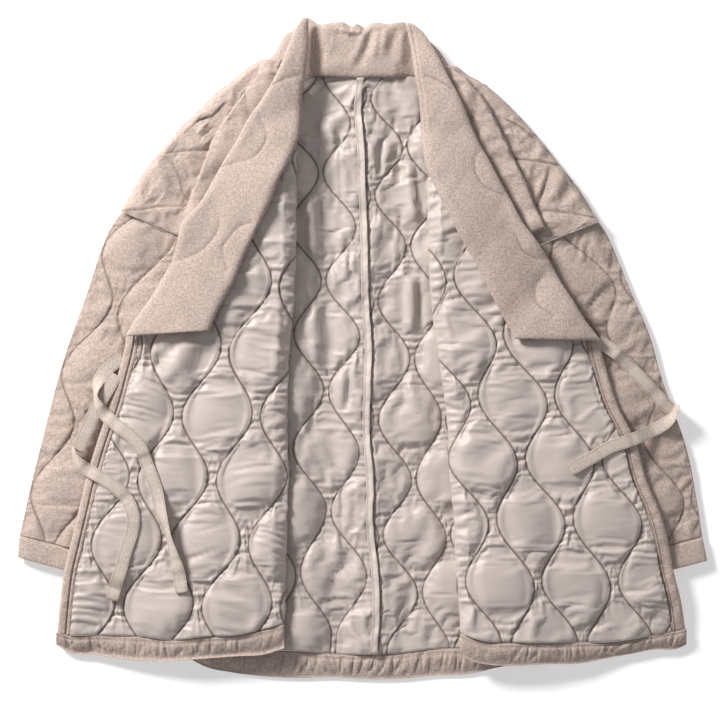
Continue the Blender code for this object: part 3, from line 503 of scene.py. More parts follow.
def cloth_material(name, light, dark, roughness, gloss, sheen, thread, slub, relief, seam_shade):
    """Woven cloth: threads along both ways of the piece's own UV map, and painted shade beside the sewn lines,
    where their grooves fall dark.
    """
    made = bpy.data.materials.new(name)
    made.use_nodes = True
    tree = made.node_tree
    shader = tree.nodes["Principled BSDF"]
    shader.inputs["Roughness"].default_value = roughness
    shader.inputs["Specular IOR Level"].default_value = gloss
    shader.inputs["Sheen Weight"].default_value = sheen
    shader.inputs["Sheen Roughness"].default_value = 0.5
    place = add_node(tree, "ShaderNodeUVMap", uv_map="cloth")
    threads = []
    for wide, long in ((thread, slub), (slub, thread)):
        stretched = add_node(tree, "ShaderNodeMapping", {"Vector": place.outputs[0],
                                                         "Scale": (1000 / wide, 1000 / long, 1)})
        threads.append(add_node(tree, "ShaderNodeTexNoise", {
            "Vector": stretched.outputs[0], "Scale": 1.0, "Detail": 1.5, "Roughness": 0.6},
            noise_dimensions="2D"))
    weave = add_node(tree, "ShaderNodeMath", {0: threads[0].outputs["Fac"], 1: threads[1].outputs["Fac"]},
                     operation="ADD")
    shade = add_node(tree, "ShaderNodeMapRange", {"Value": weave.outputs[0], "From Min": 0.62, "From Max": 1.38})
    colour = add_node(tree, "ShaderNodeMix", {0: shade.outputs[0], 6: linear(dark), 7: linear(light)},
                      data_type="RGBA")
    # Painted shade: near a sewn line the colour is mixed toward a dark brown, standing in for the shade in the
    # line's groove
    away = add_node(tree, "ShaderNodeAttribute", attribute_name="seam")
    stitched = add_node(tree, "ShaderNodeMapRange", {
        "Value": away.outputs["Fac"], "From Min": 0.2, "From Max": 2.1, "To Min": seam_shade, "To Max": 0.0},
        interpolation_type="SMOOTHSTEP")
    sewn = add_node(tree, "ShaderNodeMix", {0: stitched.outputs[0], 6: colour.outputs[2], 7: linear("#6E5A50")},
                    data_type="RGBA")
    tree.links.new(sewn.outputs[2], shader.inputs["Base Color"])
    bump = add_node(tree, "ShaderNodeBump", {"Height": weave.outputs[0], "Strength": 1.0,
                                             "Distance": relief * MM})
    tree.links.new(bump.outputs[0], shader.inputs["Normal"])
    return made


# Slubbed cotton and linen: matt, with thick and thin threads that mottle it
shell_cloth = cloth_material("slub_linen_cotton_shell", "#D2C0B6", "#AD998E", 0.95, 0.3, 0.15, 1.9, 4.6, 0.3, 0.6)
# Polyester satin: smooth, with broad soft highlights
lining_satin = cloth_material("polyester_satin_lining", "#CBBEB7", "#CBBEB7", 0.45, 0.42, 0.1, 3.0, 26.0, 0.0, 0.85)
# Bias strips cut from the same satin, pressed flat
bias_satin = cloth_material("satin_bias_binding", "#D8CCC4", "#C9BBB2", 0.5, 0.4, 0.1, 1.5, 6.0, 0.1, 0.5)
# Plain cotton tape
tape_cotton = cloth_material("woven_cotton_tape", "#DED0C5", "#BDADA1", 0.92, 0.3, 0.2, 1.3, 3.5, 0.25, 0.4)


# Pieces

def grid_object(name, rows, columns, two_sided=False):
    """A grid of points, or a closed wall of two grids, and the row and column of each point."""
    bm = bmesh.new()
    bmesh.ops.create_grid(bm, x_segments=columns - 1, y_segments=rows - 1, size=0.5)
    if two_sided:
        raised = bmesh.ops.extrude_face_region(bm, geom=bm.faces[:])["geom"]
        bmesh.ops.translate(bm, verts=[v for v in raised if isinstance(v, bmesh.types.BMVert)], vec=(0, 0, 1))
        bmesh.ops.recalc_face_normals(bm, faces=bm.faces[:])
    mesh = bpy.data.meshes.new(name)
    bm.to_mesh(mesh)
    bm.free()
    place = np.empty(3 * len(mesh.vertices))
    mesh.vertices.foreach_get("co", place)
    place = place.reshape(-1, 3)
    column = np.rint((place[:, 0] + 0.5) * (columns - 1)).astype(int)
    row = np.rint((0.5 - place[:, 1]) * (rows - 1)).astype(int)
    made = bpy.data.objects.new(name, mesh)
    bpy.context.scene.collection.objects.link(made)
    if two_sided:
        return made, row, column, place[:, 2] > 0.5
    return made, row, column


def turned_over(x, y):
    """Whether a grid's rows and columns run so that its upper side would face down."""
    return (np.gradient(y, axis=1) * np.gradient(x, axis=0)
            - np.gradient(x, axis=1) * np.gradient(y, axis=0)).mean() < 0


def piece(name, cloth, x, y, low, high, seam=None, across=None, along=None,
          node=None, top=None):
    """A closed wall from a grid, as the cloth that replaces its solid, whose part is hidden."""
    made, row, column, upper = grid_object(name, *x.shape, two_sided=True)
    mesh = made.data
    top_x, top_y = top or (x, y)
    place = np.stack([np.where(upper, top_x[row, column], x[row, column]),
                      np.where(upper, top_y[row, column], y[row, column]),
                      np.where(upper, high[row, column], low[row, column])], axis=1) * MM
    mesh.vertices.foreach_set("co", place.ravel())
    if turned_over(x, y):
        mesh.flip_normals()
    across, along = x if across is None else across, y if along is None else along
    corner = np.empty(len(mesh.loops), int)
    mesh.loops.foreach_get("vertex_index", corner)
    laid = np.stack([across[row, column], along[row, column]], axis=1)[corner] * MM
    mesh.uv_layers.new(name="cloth").data.foreach_set("uv", laid.ravel())
    away = np.full(len(place), SEAM_FAR) if seam is None else np.clip(seam[row, column], 0, SEAM_FAR)
    mesh.attributes.new("seam", "FLOAT", "POINT").data.foreach_set("value", away.astype(np.float32))
    mesh.update()
    mesh.shade_smooth()
    mesh.materials.append(cloth)
    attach(made, "root")
    if node:
        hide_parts(node)
    return made


def panel(plan, cloth, low, high, pile):
    """Lays a quilted panel."""
    high = np.maximum(high, low + 0.8)
    pile.add(plan.top_x, plan.top_y, high)
    return piece(plan.name + "_panel", cloth, plan.x, plan.y, low, high, plan.away, plan.across,
                 plan.along,
                 node=plan.name, top=(plan.top_x, plan.top_y))


def padded_wall(bed, pad, relief, share):
    """The underside and the upper side of a padded wall that lies on a bed."""
    return bed + 0.5 * pad * (1 - share), bed + 0.5 * pad * (1 + share) + relief * share


def columns_between(numbers, count, coarse=()):
    """Which channel each column of a grid is in and how far across it, closest together beside the lines."""
    number, share = [], []
    for n in numbers:
        segments = count if n not in coarse else 4
        t = np.arange(segments) / segments
        number += [n] * segments
        share += list(0.6 * t + 0.4 * 0.5 * (1 - np.cos(np.pi * t)))
    return np.array(number + [numbers[-1]]), np.array(share + [1.0])


def across_lines(lines, number, share, level, width, near, far):
    """Distances from the edge the lines are counted from, so that columns run along the sewn lines."""
    first, last = number[0], number[-1]

    def line(n):
        count = n - first
        low, high = near + 0.5 * count, width - far - 0.5 * (last + 1 - n)
        place = np.clip(lines.at(n, level), low, np.maximum(high, low))
        place = np.where(n == first, 0, np.where(n == last + 1, width, place))
        return np.minimum(place, width)

    return (1 - share) * line(number) + share * line(number + 1)


def levels(first, last, step):
    return np.linspace(first, last, max(2, round(abs(first - last) / step) + 1))


def to_hem(level, x, hem, start=-290.0):
    """Levels that bend to follow the seam of the hem as they near it."""
    last = level.min()
    part = np.clip((start - level) / (start - last), 0, 1)
    return level + (hem(x) + SEAM_GAP - last) * part**1.5


class Plan:
    """A quilted panel before it is laid: its grid, its quilting, and how its edges round away."""

    def __init__(self, name, x, y, across, away, pad, relief, thick, flat, edges, along, detail=0.0):
        self.name, self.x, self.y, self.across, self.away, self.pad = name, x, y, across, away, pad
        self.thick, self.flat, self.edges = thick, flat, edges
        self.along = (y if along is None else along) + 0 * x
        # The upper side over the middle of the wall
        self.relief = (0.5 * pad + relief) * thick
        self.top_x, self.top_y = x, y
        self.detail = detail * thick  # puckers that are too fine for the swelling


def swell(plans, frames=SWELLING_FRAMES):
    """Lets the upper cloth of every quilted panel swell and pucker between its sewn lines."""
    cloths = []
    for plan in plans:
        rows, columns = plan.x.shape
        made, row, column = grid_object(plan.name + "_swelling", rows, columns)
        start = np.stack([plan.x, plan.y, plan.relief], axis=2)[row, column] * MM
        made.data.vertices.foreach_set("co", start.ravel())
        if turned_over(plan.x, plan.y):
            made.data.flip_normals()
        held = np.maximum(np.clip(1 - plan.away / 0.5, 0, 1), plan.edges)
        held[0] = held[-1] = 1
        sewn = made.vertex_groups.new(name="sewn")
        for k, weight in enumerate(held[row, column]):
            if weight > 0:
                sewn.add([k], float(weight), "REPLACE")
        pressure, slack, bending, stiffness, mass = SWELLING[plan.name.split("_")[0]]
        cloth = made.modifiers.new("swelling", "CLOTH")
        cloth.point_cache.frame_start, cloth.point_cache.frame_end = 1, frames
        cloth.collision_settings.use_collision = False
        settings = cloth.settings
        settings.quality = 4
        settings.mass = mass
        settings.tension_stiffness = settings.compression_stiffness = stiffness
        settings.shear_stiffness = stiffness / 3
        settings.bending_stiffness = bending
        settings.use_pressure = True
        settings.uniform_pressure_force = pressure
        settings.vertex_group_mass = "sewn"
        settings.shrink_min = -slack
        settings.effector_weights.gravity = 0
        cloths.append((plan, made, row, column))
    for frame_number in range(1, frames + 1):
        bpy.context.scene.frame_set(frame_number)
    seen = bpy.context.evaluated_depsgraph_get()
    for plan, made, row, column in cloths:
        place = np.empty(3 * len(made.data.vertices))
        made.evaluated_get(seen).data.vertices.foreach_get("co", place)
        grid = np.empty((*plan.x.shape, 3))
        grid[row, column] = place.reshape(-1, 3) / MM
        loose = MOST_SIDEWAYS * (1.001 - np.exp(-(plan.away / STEADY) ** 2))
        plan.top_x = plan.x + loose * np.tanh((grid[..., 0] - plan.x) / loose)
        plan.top_y = plan.y + loose * np.tanh((grid[..., 1] - plan.y) / loose)
        rise = MOST_UP * np.tanh((grid[..., 2] - plan.relief) / MOST_UP)
        rise = rise * (1 - np.exp(-np.hypot(plan.x - plan.x[-1], plan.y - plan.y[-1]) / HEM_HOLD))
        plan.relief = plan.relief + np.maximum(rise, -0.45 * plan.pad * plan.thick)
        bpy.data.objects.remove(made)
    bpy.context.scene.frame_set(1)


def fine_gathers(lines, distance, level, seed, size):
    """Sharp short puckers across the necks of the quilting and along its sewn lines."""
    number, low, high = lines.channel(distance, level)
    away = np.minimum(distance - low, high - distance)
    pinch = np.clip(1.35 - (high - low) / lines.spacing, 0.0, 1)
    tilt = level + 0.25 * (distance - low) * waves(level / 30, number * 2.7, seed + 4)
    crest = waves(tilt / 3.3, 3.7 * number + away / 18, seed)
    return size * (1 - np.exp(-away / 0.9)) * np.exp(-away / (5 + 12 * pinch)) * crest * (0.5 + 1.4 * pinch)


def gathers(lines, distance, level, seed, size):
    """Short puckers that run from the sewn lines into the cloth, deepest where two lines meet."""
    number, low, high = lines.channel(distance, level)
    room = high - low
    away = np.minimum(distance - low, high - distance)
    pinch = np.clip(1.3 - room / lines.spacing, 0.0, 1)
    middle = distance - (low + high) / 2
    fan = 1 + np.clip(np.abs(middle) / 60, 0, 1)
    fine = waves(level / 4.6, 3.1 * number + middle / 38, seed)
    broad = waves(level / (10.5 * fan), 5.3 * number + middle / 60, seed + 1)
    grow = 1 - np.exp(-away / 1.6)
    die = np.exp(-away / (6 + 10 * pinch))
    return size * grow * die * (fine * (0.4 + 1.4 * pinch) + broad * (1.2 + 1.2 * pinch))


def drag_creases(u, v, seed, long=52, apart=12.5):
    """Broad soft creases that cross the bubbles, long along u and close together along v."""
    bent = v + 14 * waves(u / 95, v / 80, seed + 2)
    crest = waves(u / long, bent / apart, seed)
    where = np.clip(0.35 + 1.1 * waves(u / 48, v / 40, seed + 1), 0, 1)
    fold = np.clip(crest, -0.2, 1) ** 2 * np.sign(crest)
    return where * (fold * 1.6 + 0.5 * waves(u / long, bent / 6, seed + 3))


def back_plan(side):
    lines, sign = Lines("back_" + side), sign_of(side)
    centre, outer, inner = outline(CENTRE_SEAM), body_side(side), outline(SHOULDER_INNER[side])
    hem = smooth([row.x for row in HEM["back"]], [row.top for row in HEM["back"]])
    rows = np.concatenate([levels(SHOULDER[side][0].level, NECK_LINE, 4), levels(339.5, -378, 2.3)])[:, None]
    number, share = columns_between((-1, 0, 1, 2, 3), 16, coarse=(3,))
    level = rows + 0 * share
    for _ in range(4):
        start = np.where(rows > NECK_LINE - 1, inner(level), centre(level) + sign * SEAM_GAP / 2)
        width = sign * (outer(level) - start) - BACK_INSET
        s = across_lines(lines, number, share, level, width, 2.0, 12.0)
        x = start + sign * s
        level = np.where(rows > -290, rows, to_hem(rows + 0 * x, x, hem))
    y = level
    thick = rounded(s, SEAM) * rounded(width - s, FREE)
    thick = np.minimum(thick, rounded(y - hem(x), SEAM))
    place = s + sign * (start - centre(y))
    away = lines.away(place, y)
    calm = np.clip(away / 12, 0, 1) * np.clip(s / 12, 0, 1)
    relief = 0.8 * BACK_PUFF * lines.relief(place, y) + gathers(lines, place, y, 11 + sign, 0.4)
    relief = relief + 2.2 * calm * drag_creases(y, x, 21 + sign, 85, 19)
    relief = relief + 1.6 * calm * creased(x, y, PANEL_CREASES)
    if side == "left":  # a fold beside the seam, a hollow, and a fold under the front
        relief = relief + 5.0 * np.exp(-(s / 24) ** 2) - 2.5 * np.exp(-((s - 50) / 20) ** 2)
        relief = relief + 5.5 * np.exp(-((s - 90) / 26) ** 2)
    else:
        relief = relief + 7.0 * np.clip(s / 8, 0, 1) * np.exp(-(s / 26) ** 2)
    flat = (s > 8) & (width - s > 8)
    return Plan("back_" + side, x, y, sign * s, away, BACK_PAD, relief, thick, flat,
                (s < 0.1) | (width - s < 0.1), None,
                fine_gathers(lines, place, y, 161 + sign, 0.8))


def lay_back(plan, pile):
    high = 0.5 * plan.pad + plan.relief + plan.detail
    low = np.where(plan.flat, 0, 0.5 * plan.pad * (1 - plan.thick))
    return panel(plan, lining_satin, low, high, pile)


def strip_along_x(name, rows, bed, pad, ends, across, edge_shares, pile, relief, node, stitched, reach=0.0):
    """A strip between a top and a bottom curve, such as a hem or the back of the collar."""
    top = smooth([row.x for row in rows], [row.top for row in rows])
    bottom = smooth([row.x for row in rows], [row.bottom for row in rows])
    x = ends[:, None] + 0 * across
    deep = top(x) - bottom(x) + reach
    y = top(x) - SEAM_GAP - (deep - SEAM_GAP) * across
    thick = rounded(deep * across, edge_shares[0]) * rounded(deep * (1 - across), edge_shares[1])
    side = np.minimum(x - x.min(), x.max() - x)
    thick = thick * rounded(side, edge_shares[2], 6.0)
    low, high = padded_wall(bed(x, y), pad if np.isscalar(pad) else pad[:, None], relief(x, y, across), thick)
    high = np.maximum(high, low + 0.8)
    if bed is floor:
        low = np.where((across > 0.2) & (across < 0.8), 0, low)
    pile.add(x, y, high)
    away = deep * np.minimum(across + 0.04, np.abs(across - stitched) + 0.01)
    return piece(name, shell_cloth, x, y, low, high, away, node=node)


def hem_strip(side, bed, pile):
    rows = HEM[side]
    seed = {"left": 31, "right": 35, "back": 39}[side]

    def relief(x, y, across):
        lean = x + 9 * (across - 0.5) * waves(x / 40, 0 * x, seed + 2)
        broad, fine = waves(lean / 8, across * 0.7, seed), waves(lean / 4.6, across * 0.9, seed + 1)
        gather = 0.8 * broad - 1.9 * np.exp(-(broad / 0.17) ** 2) - 0.9 * np.exp(-(fine / 0.2) ** 2)
        from_end = x - x.min() if side == "right" else x.max() - x
        smooth_end = np.clip(from_end / 60, 0.25, 1)
        pipe = -1.6 * np.exp(-((across - 0.16) / 0.045) ** 2)  # the stitched line under its top edge
        roll = 3.2 * np.sin(np.pi * across) - (9.0 if side == "left" else 6.5) * across
        return roll + pipe + 1.3 * gather * np.sin(np.pi * np.clip(across * 1.1, 0, 1)) * smooth_end

    length = rows[-1].x - rows[0].x
    return strip_along_x("hem_%s_strip" % side, rows, bed, HEM_PAD,
                         np.linspace(rows[0].x, rows[-1].x, round(abs(length) / 1.3)),
                         np.concatenate([[0, 0.03, 0.07, 0.12], np.linspace(0.2, 0.88, 10), [0.93, 0.97, 1]]),
                         (SEAM, FREE, FREE), pile, relief, "hem_" + side, 0.16)


def sleeve_plan(side):
    lines, sign = Lines("sleeve_" + side), sign_of(side)
    table = SLEEVE[side]
    count = np.arange(len(table))
    along = np.linspace(0, len(table) - 1, 160)[:, None]
    outer_x, outer_y, inner_x, inner_y = (smooth(count, [row[k] for row in table]) for k in range(4))
    start = [outer_x(along), outer_y(along)]
    end = [inner_x(along), inner_y(along)]
    width = np.hypot(end[0] - start[0], end[1] - start[1])
    number, share = columns_between((-1, 0, 1, 2), 16, coarse=(2,))
    s = width * np.linspace(0, 1, len(share))
    for _ in range(6):
        y = start[1] + (end[1] - start[1]) * s / width
        s = 0.5 * s + 0.5 * across_lines(lines, number, share, y, width + 0 * s, 6.0, 30.0)
    row = np.arange(len(along))[:, None]
    x = start[0] + (end[0] - start[0]) * s / width
    y = start[1] + (end[1] - start[1]) * s / width
    y = y - np.where(row == 0, SEAM_GAP / 2, 0) + np.where(row == len(along) - 1, SEAM_GAP / 2, 0)
    thick = rounded(s, FREE, 34 if side == "left" else 52) * rounded(width - s, FREE, 14)
    thick = thick * rounded(row * 2.8, 0.9, 5) * rounded((len(along) - 1 - row) * 2.8, 0.75, 8)
    seed = 41 if side == "left" else 47
    relief = 0.8 * SLEEVE_PUFF * lines.relief(s, y) + gathers(lines, s, y, seed, 0.25)
    relief = relief + 1.2 * drag_creases(0.8 * y + 0.5 * x, x - 0.3 * y, seed + 3, 80, 24)
    relief = relief + 0.7 * drag_creases(0.9 * y - sign * 0.4 * x, x + sign * 0.3 * y, seed + 5, 55, 10)
    relief = relief + 4.0 * np.exp(-row * 2.8 / 35) - 6.0 * np.clip(1 - s / 90, 0, 1) ** 1.5
    edges = (s < 0.1) | (width - s < 0.1)
    return Plan("sleeve_" + side, x, y, sign * s, lines.away(s, y), SLEEVE_PAD, relief, thick,
                (s > 12) & (width - s > 12), edges, along * 60)


def lay_sleeve(plan, pile):
    high = 0.5 * plan.pad + plan.relief + plan.detail
    low = np.where(plan.flat, 0, 0.5 * plan.pad * (1 - plan.thick))
    return panel(plan, shell_cloth, low, high, pile)


def cuff(side, pile):
    """The turned end of a sleeve, a flat tube that is open at its mouth and turned in on itself."""
    sign = sign_of(side)
    first, last = SLEEVE[side][-1], CUFF_END[side]
    around = 150
    turn = np.arange(around + 1) / around * 2 * np.pi
    flat = 0.5 - 0.5 * np.cos(turn)
    flat = 0.5 + (flat - 0.5) * (0.55 + 0.45 * np.abs(np.cos(turn)) ** 0.2)
    upper = np.sign(np.sin(turn)) * np.abs(np.sin(turn)) ** 0.45
    outside = [0, 0.1, 0.25, 0.4, 0.55, 0.7, 0.85, 0.94, 0.985, 1.0]
    inside = [1.0, 0.97, 0.9, 0.75, 0.55, 0.35]
    slot = [5.0, 3.4, 2.4, 2.0, 2.0, 2.0]  # half the height of the opening, from the mouth inwards
    rows = []
    for k, along in enumerate(outside + inside):
        within = k >= len(outside)
        x0 = first.outer_x + (last.outer_x - first.outer_x) * along
        y0 = first.outer_y - SEAM_GAP / 2 + (last.outer_y - first.outer_y) * along
        x1 = first.inner_x + (last.inner_x - first.inner_x) * along
        y1 = first.inner_y - SEAM_GAP / 2 + (last.inner_y - first.inner_y) * along
        width = math.hypot(x1 - x0, y1 - y0)
        margin = (3.5 if within else 0) / width
        place = margin + (1 - 2 * margin) * flat
        lip = {0: 0.84, 1: 0.97, 7: 0.98, 8: 0.9, 9: 0.78}.get(k, 1.0)
        half = slot[k - len(outside)] if within else 0.5 * (SLEEVE_PAD + 1.5) * lip
        swell = 0.8 * waves(place * 12, along * 1.5, 61 + sign) * (upper > 0) * (not within)
        rows.append(np.stack([x0 + (x1 - x0) * place, y0 + (y1 - y0) * place,
                              0.5 * (SLEEVE_PAD + 1.5) + upper * half + swell], axis=1))
    points = np.array(rows)
    points[..., 2] = np.maximum(points[..., 2], 0)
    bm = bmesh.new()
    bmesh.ops.create_grid(bm, x_segments=around, y_segments=len(rows) - 1, size=0.5)
    for vertex in bm.verts:
        column = round((vertex.co.x + 0.5) * around)
        row = round((0.5 - vertex.co.y) * (len(rows) - 1))
        vertex.co = Vector(points[row, column % around]) * MM
    bmesh.ops.remove_doubles(bm, verts=bm.verts, dist=1e-6)
    bmesh.ops.holes_fill(bm, edges=[e for e in bm.edges if e.is_boundary], sides=0)
    bmesh.ops.recalc_face_normals(bm, faces=bm.faces[:])
    mesh = bpy.data.meshes.new("cuff_" + side)
    uv = bm.loops.layers.uv.new("cloth")
    for face in bm.faces:
        for loop in face.loops:
            loop[uv].uv = loop.vert.co.xy
    bm.to_mesh(mesh)
    bm.free()
    away = np.full(len(mesh.vertices), SEAM_FAR, np.float32)
    mesh.attributes.new("seam", "FLOAT", "POINT").data.foreach_set("value", away)
    mesh.shade_smooth()
    mesh.materials.append(shell_cloth)
    made = bpy.data.objects.new("cuff_%s_tube" % side, mesh)
    bpy.context.scene.collection.objects.link(made)
    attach(made, "root")
    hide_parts("cuff_" + side)
    pile.add(points[:10, :76, 0], points[:10, :76, 1], points[:10, :76, 2])
    return made


def shoulder_plan(side):
    """The front's outer face over the shoulder, with its long tuck, and on down under the fold."""
    sign = sign_of(side)
    outer, tuck = body_side(side), outline(TUCK[side])
    inner_top, fold = outline(SHOULDER_INNER[side]), outline(FOLD[side])
    start = FOLD[side][0].level
    tip, arm = SHOULDER[side][-1].level, UNDERARM[side][1]
    rows = np.concatenate([levels(SHOULDER[side][0].level, arm, 2.2)[:-1], levels(arm, -370, 20)])[:, None]
    edge = outer(rows)
    # The neck end reaches a little under the collar, so that no floor shows between them.
    inside = np.where(rows > start, inner_top(rows) - sign * 22 * np.clip((rows - 336) / 6, 0, 1),
                      fold(rows) + sign * (LIP + LIP_ROOM))
    width = sign * (edge - inside)
    ridge = edge - sign * np.clip(sign * (edge - tuck(rows)), 0.25 * width, 0.85 * width)
    before = np.concatenate([[0, 0.01, 0.03, 0.06, 0.1], np.linspace(0.15, 0.94, 34), [0.97, 0.985, 1.0]])
    steps = np.array([0.15, 0.4, 0.7, 1.0]) * np.minimum(4.0, 0.25 * np.abs(ridge - inside))
    after = np.linspace(0, 1, 12)[1:] ** 1.3
    x = np.concatenate([
        edge + (ridge - edge) * before, ridge - sign * steps,
        (ridge - sign * steps[:, -1:]) + (inside - ridge + sign * steps[:, -1:]) * after], axis=1)
    y = rows + 0 * x
    s = sign * (edge - x)
    at_armhole = (rows <= tip) & (rows >= arm)
    thick = rounded(s, np.where(at_armhole, SEAM, FREE), np.clip(0.25 * width, 2, EDGE_RADIUS))
    thick = thick * rounded(sign * (x - inside), FREE, np.clip(0.1 * width, 2, EDGE_RADIUS))
    thick = np.minimum(thick, rounded(y.max() - y, SEAM))
    seed = 71 if side == "left" else 77
    creases = 1.3 * drag_creases(0.7 * y - sign * 0.7 * x, 0.7 * x * sign + 0.7 * y, seed, 46, 14)
    creases = creases + 0.65 * creased(x, y, SHOULDER_CREASES[side])
    away = beside(x, y, SHOULDER_LINES[side])
    relief = 2.2 + 1.6 * (1 - np.exp(-away / 9)) - 1.0 * np.exp(-(away / 1.6) ** 2)
    relief = relief + creases * np.clip(s / 8, 0, 1) * np.clip(1 - sign * (ridge - x) / 6, 0.15, 1)
    fade = np.clip((rows - arm) / (tip - arm), 0, 1)
    past = sign * (ridge - x)
    fade = fade * np.clip((width - 12) / 45, 0, 1)  # no tuck yet at the neck, where the layer is narrow
    rise = TUCK_RISE * fade * np.where(past > -0.01, np.clip(past / 3.2, 0, 1) ** 0.5
                                       * np.clip(1.2 - past / (2.2 * TUCK_SPREAD), 0, 1), 0)
    rise = rise - 1.5 * fade * np.exp(-(past / 5) ** 2) * (past <= 0)
    # At the shoulder seam and the side seam the layer comes down round the edge of the back.
    back = rounded(s - BACK_INSET, FREE)
    down = LAY_GAP + 0.5 * BACK_PAD * (1 + back) + 1.35 * BACK_PUFF * back
    at_seam = np.clip(np.maximum(rows - tip, arm - rows) / 12, 0, 1)
    at_ridge = (np.abs(past) < 0.05) | (np.abs(past - steps[:, -1:]) < 0.05)
    edges = (s < 0.1) | (sign * (x - inside) < 0.1) | at_ridge
    away = np.minimum(away, np.where(np.abs(past) < 0.05, 0.8, SEAM_FAR))
    return Plan("shoulder_" + side, x, y, sign * s, away, BACK_PAD,
                relief + rise, thick, (down, at_seam), edges, None)


def lay_shoulder(plan, bed, pile):
    down, at_seam = plan.flat
    lie = bed(plan.x, plan.y)
    lie = lie + (np.minimum(lie, down) - lie) * at_seam
    low, high = lie + 0.5 * plan.pad * (1 - plan.thick), lie + 0.5 * plan.pad + plan.relief + plan.detail
    return panel(plan, shell_cloth, low, high, pile)


def front_plan(side):
    """A front turned back over the body, lining up, from the fold to its edge strip."""
    lines, sign = Lines("front_" + side), sign_of(side)
    fold, edge, under = outline(FOLD[side]), outline(FRONT_EDGE[side]), outline(FRONT_UNDER_BAND[side])
    hem = smooth([row.x for row in HEM[side]], [row.top for row in HEM[side]])
    start, below = FOLD[side][0].level, FRONT_UNDER_BAND[side][-1].level
    rows = np.concatenate([levels(start, below, 2.6)[:-1], levels(below - 2, -355, 2.2)])[:, None]
    number, share = columns_between((-1, 0, 1, 2, 3, 4, 5), 15)
    level = rows + 0 * share
    for _ in range(4):
        seam = np.where(rows > below, under(level), edge(level) - sign * (EDGE_WIDTH[side] + SEAM_GAP))
        width = sign * (seam - fold(level))
        s = across_lines(lines, number, share, level, width, 7.0, 4.0)
        x = fold(level) + sign * s
        level = np.where(rows > -290, rows, to_hem(rows + 0 * x, x, hem))
    y = level
    thick = rounded(width - s, SEAM, 8) * rounded(y - hem(x), SEAM, 8) * np.where(rows == start, FREE, 1)
    seed = 81 if side == "left" else 91
    away = lines.away(s, y)
    relief = FRONT_PUFF * lines.relief(s, y) + gathers(lines, s, y, seed, 0.5)
    relief = relief + 2.0 * np.clip(away / 14, 0, 1) * drag_creases(x + 0.2 * sign * y, y, seed + 2)
    relief = relief * np.clip(s / 16, 0, 1) + np.clip(s / 10, 0, 1) * creased(x, y, PANEL_CREASES)
    x = x - sign * 0.9 * waves(y / 9, 0 * y, seed + 5) * np.clip(1 - s / 12, 0, 1)
    return Plan("front_" + side, x, y, sign * s, away, FRONT_PAD, relief, thick, (s, width),
                (s < 0.1) | (width - s < 0.1), None, fine_gathers(lines, s, y, seed + 90, 0.9))


def lay_front(plan, bed, fold_bed, pile):
    s, width = plan.flat
    lie = bed(plan.x, plan.y)
    low, high = lie + 0.5 * plan.pad * (1 - plan.thick), lie + 0.5 * plan.pad + plan.relief + plan.detail
    # The nose of the fold, down to the back
    nose = rounded(s, FREE, 13)
    under = fold_bed(plan.x, plan.y)
    middle = 0.5 * (under + high)
    lip = np.clip((LIP + 1.5 - s) / 1.5, 0, 1) * (width > 30)
    low = low + (middle - (middle - under) * nose - low) * lip
    high = middle + (high - middle) * nose
    return panel(plan, lining_satin, low, high, pile)


def front_edge(side, bed, pile):
    """The shell strip with its binding down the free edge of a front."""
    sign = sign_of(side)
    edge = outline(FRONT_EDGE[side])
    hem = smooth([row.x for row in HEM[side]], [row.top for row in HEM[side]])
    below = FRONT_UNDER_BAND[side][-1].level
    rows = levels(below - 2, -355, 2.5)[:, None]
    share = np.concatenate([[0, 0.03, 0.08, 0.16], np.linspace(0.24, 0.94, 19), [0.97, 1]])
    s = EDGE_WIDTH[side] * share[None, :]
    level = rows + 0 * s
    for _ in range(3):
        x = edge(level) - sign * s
        level = np.where(rows > -290, rows, to_hem(rows + 0 * x, x, hem))
    y = level
    thick = rounded(s, FREE, 6) * rounded(EDGE_WIDTH[side] - s, SEAM, 5) + 0 * x
    seed = 101 if side == "left" else 103
    if side == "left":  # a groove between the strip and its piping
        away = np.abs(s - 10.8)
        groove = 2.4 * np.exp(-(away / 1.1) ** 2)
    else:  # two sewn lines
        away = np.minimum(np.abs(s - 12.5), np.abs(s - 15.8))
        groove = 0.8 * np.exp(-(away / 0.9) ** 2)
    low, high = padded_wall(bed(x, y), EDGE_PAD, 1.4 - groove + 0.8 * waves(y / 7, s / 9, seed), thick)
    pile.add(x, y, high)
    name = "front_edge_" + side
    return piece(name + "_strip", shell_cloth, x, y, low, high, away + 0.2 + 0 * x, node=name)


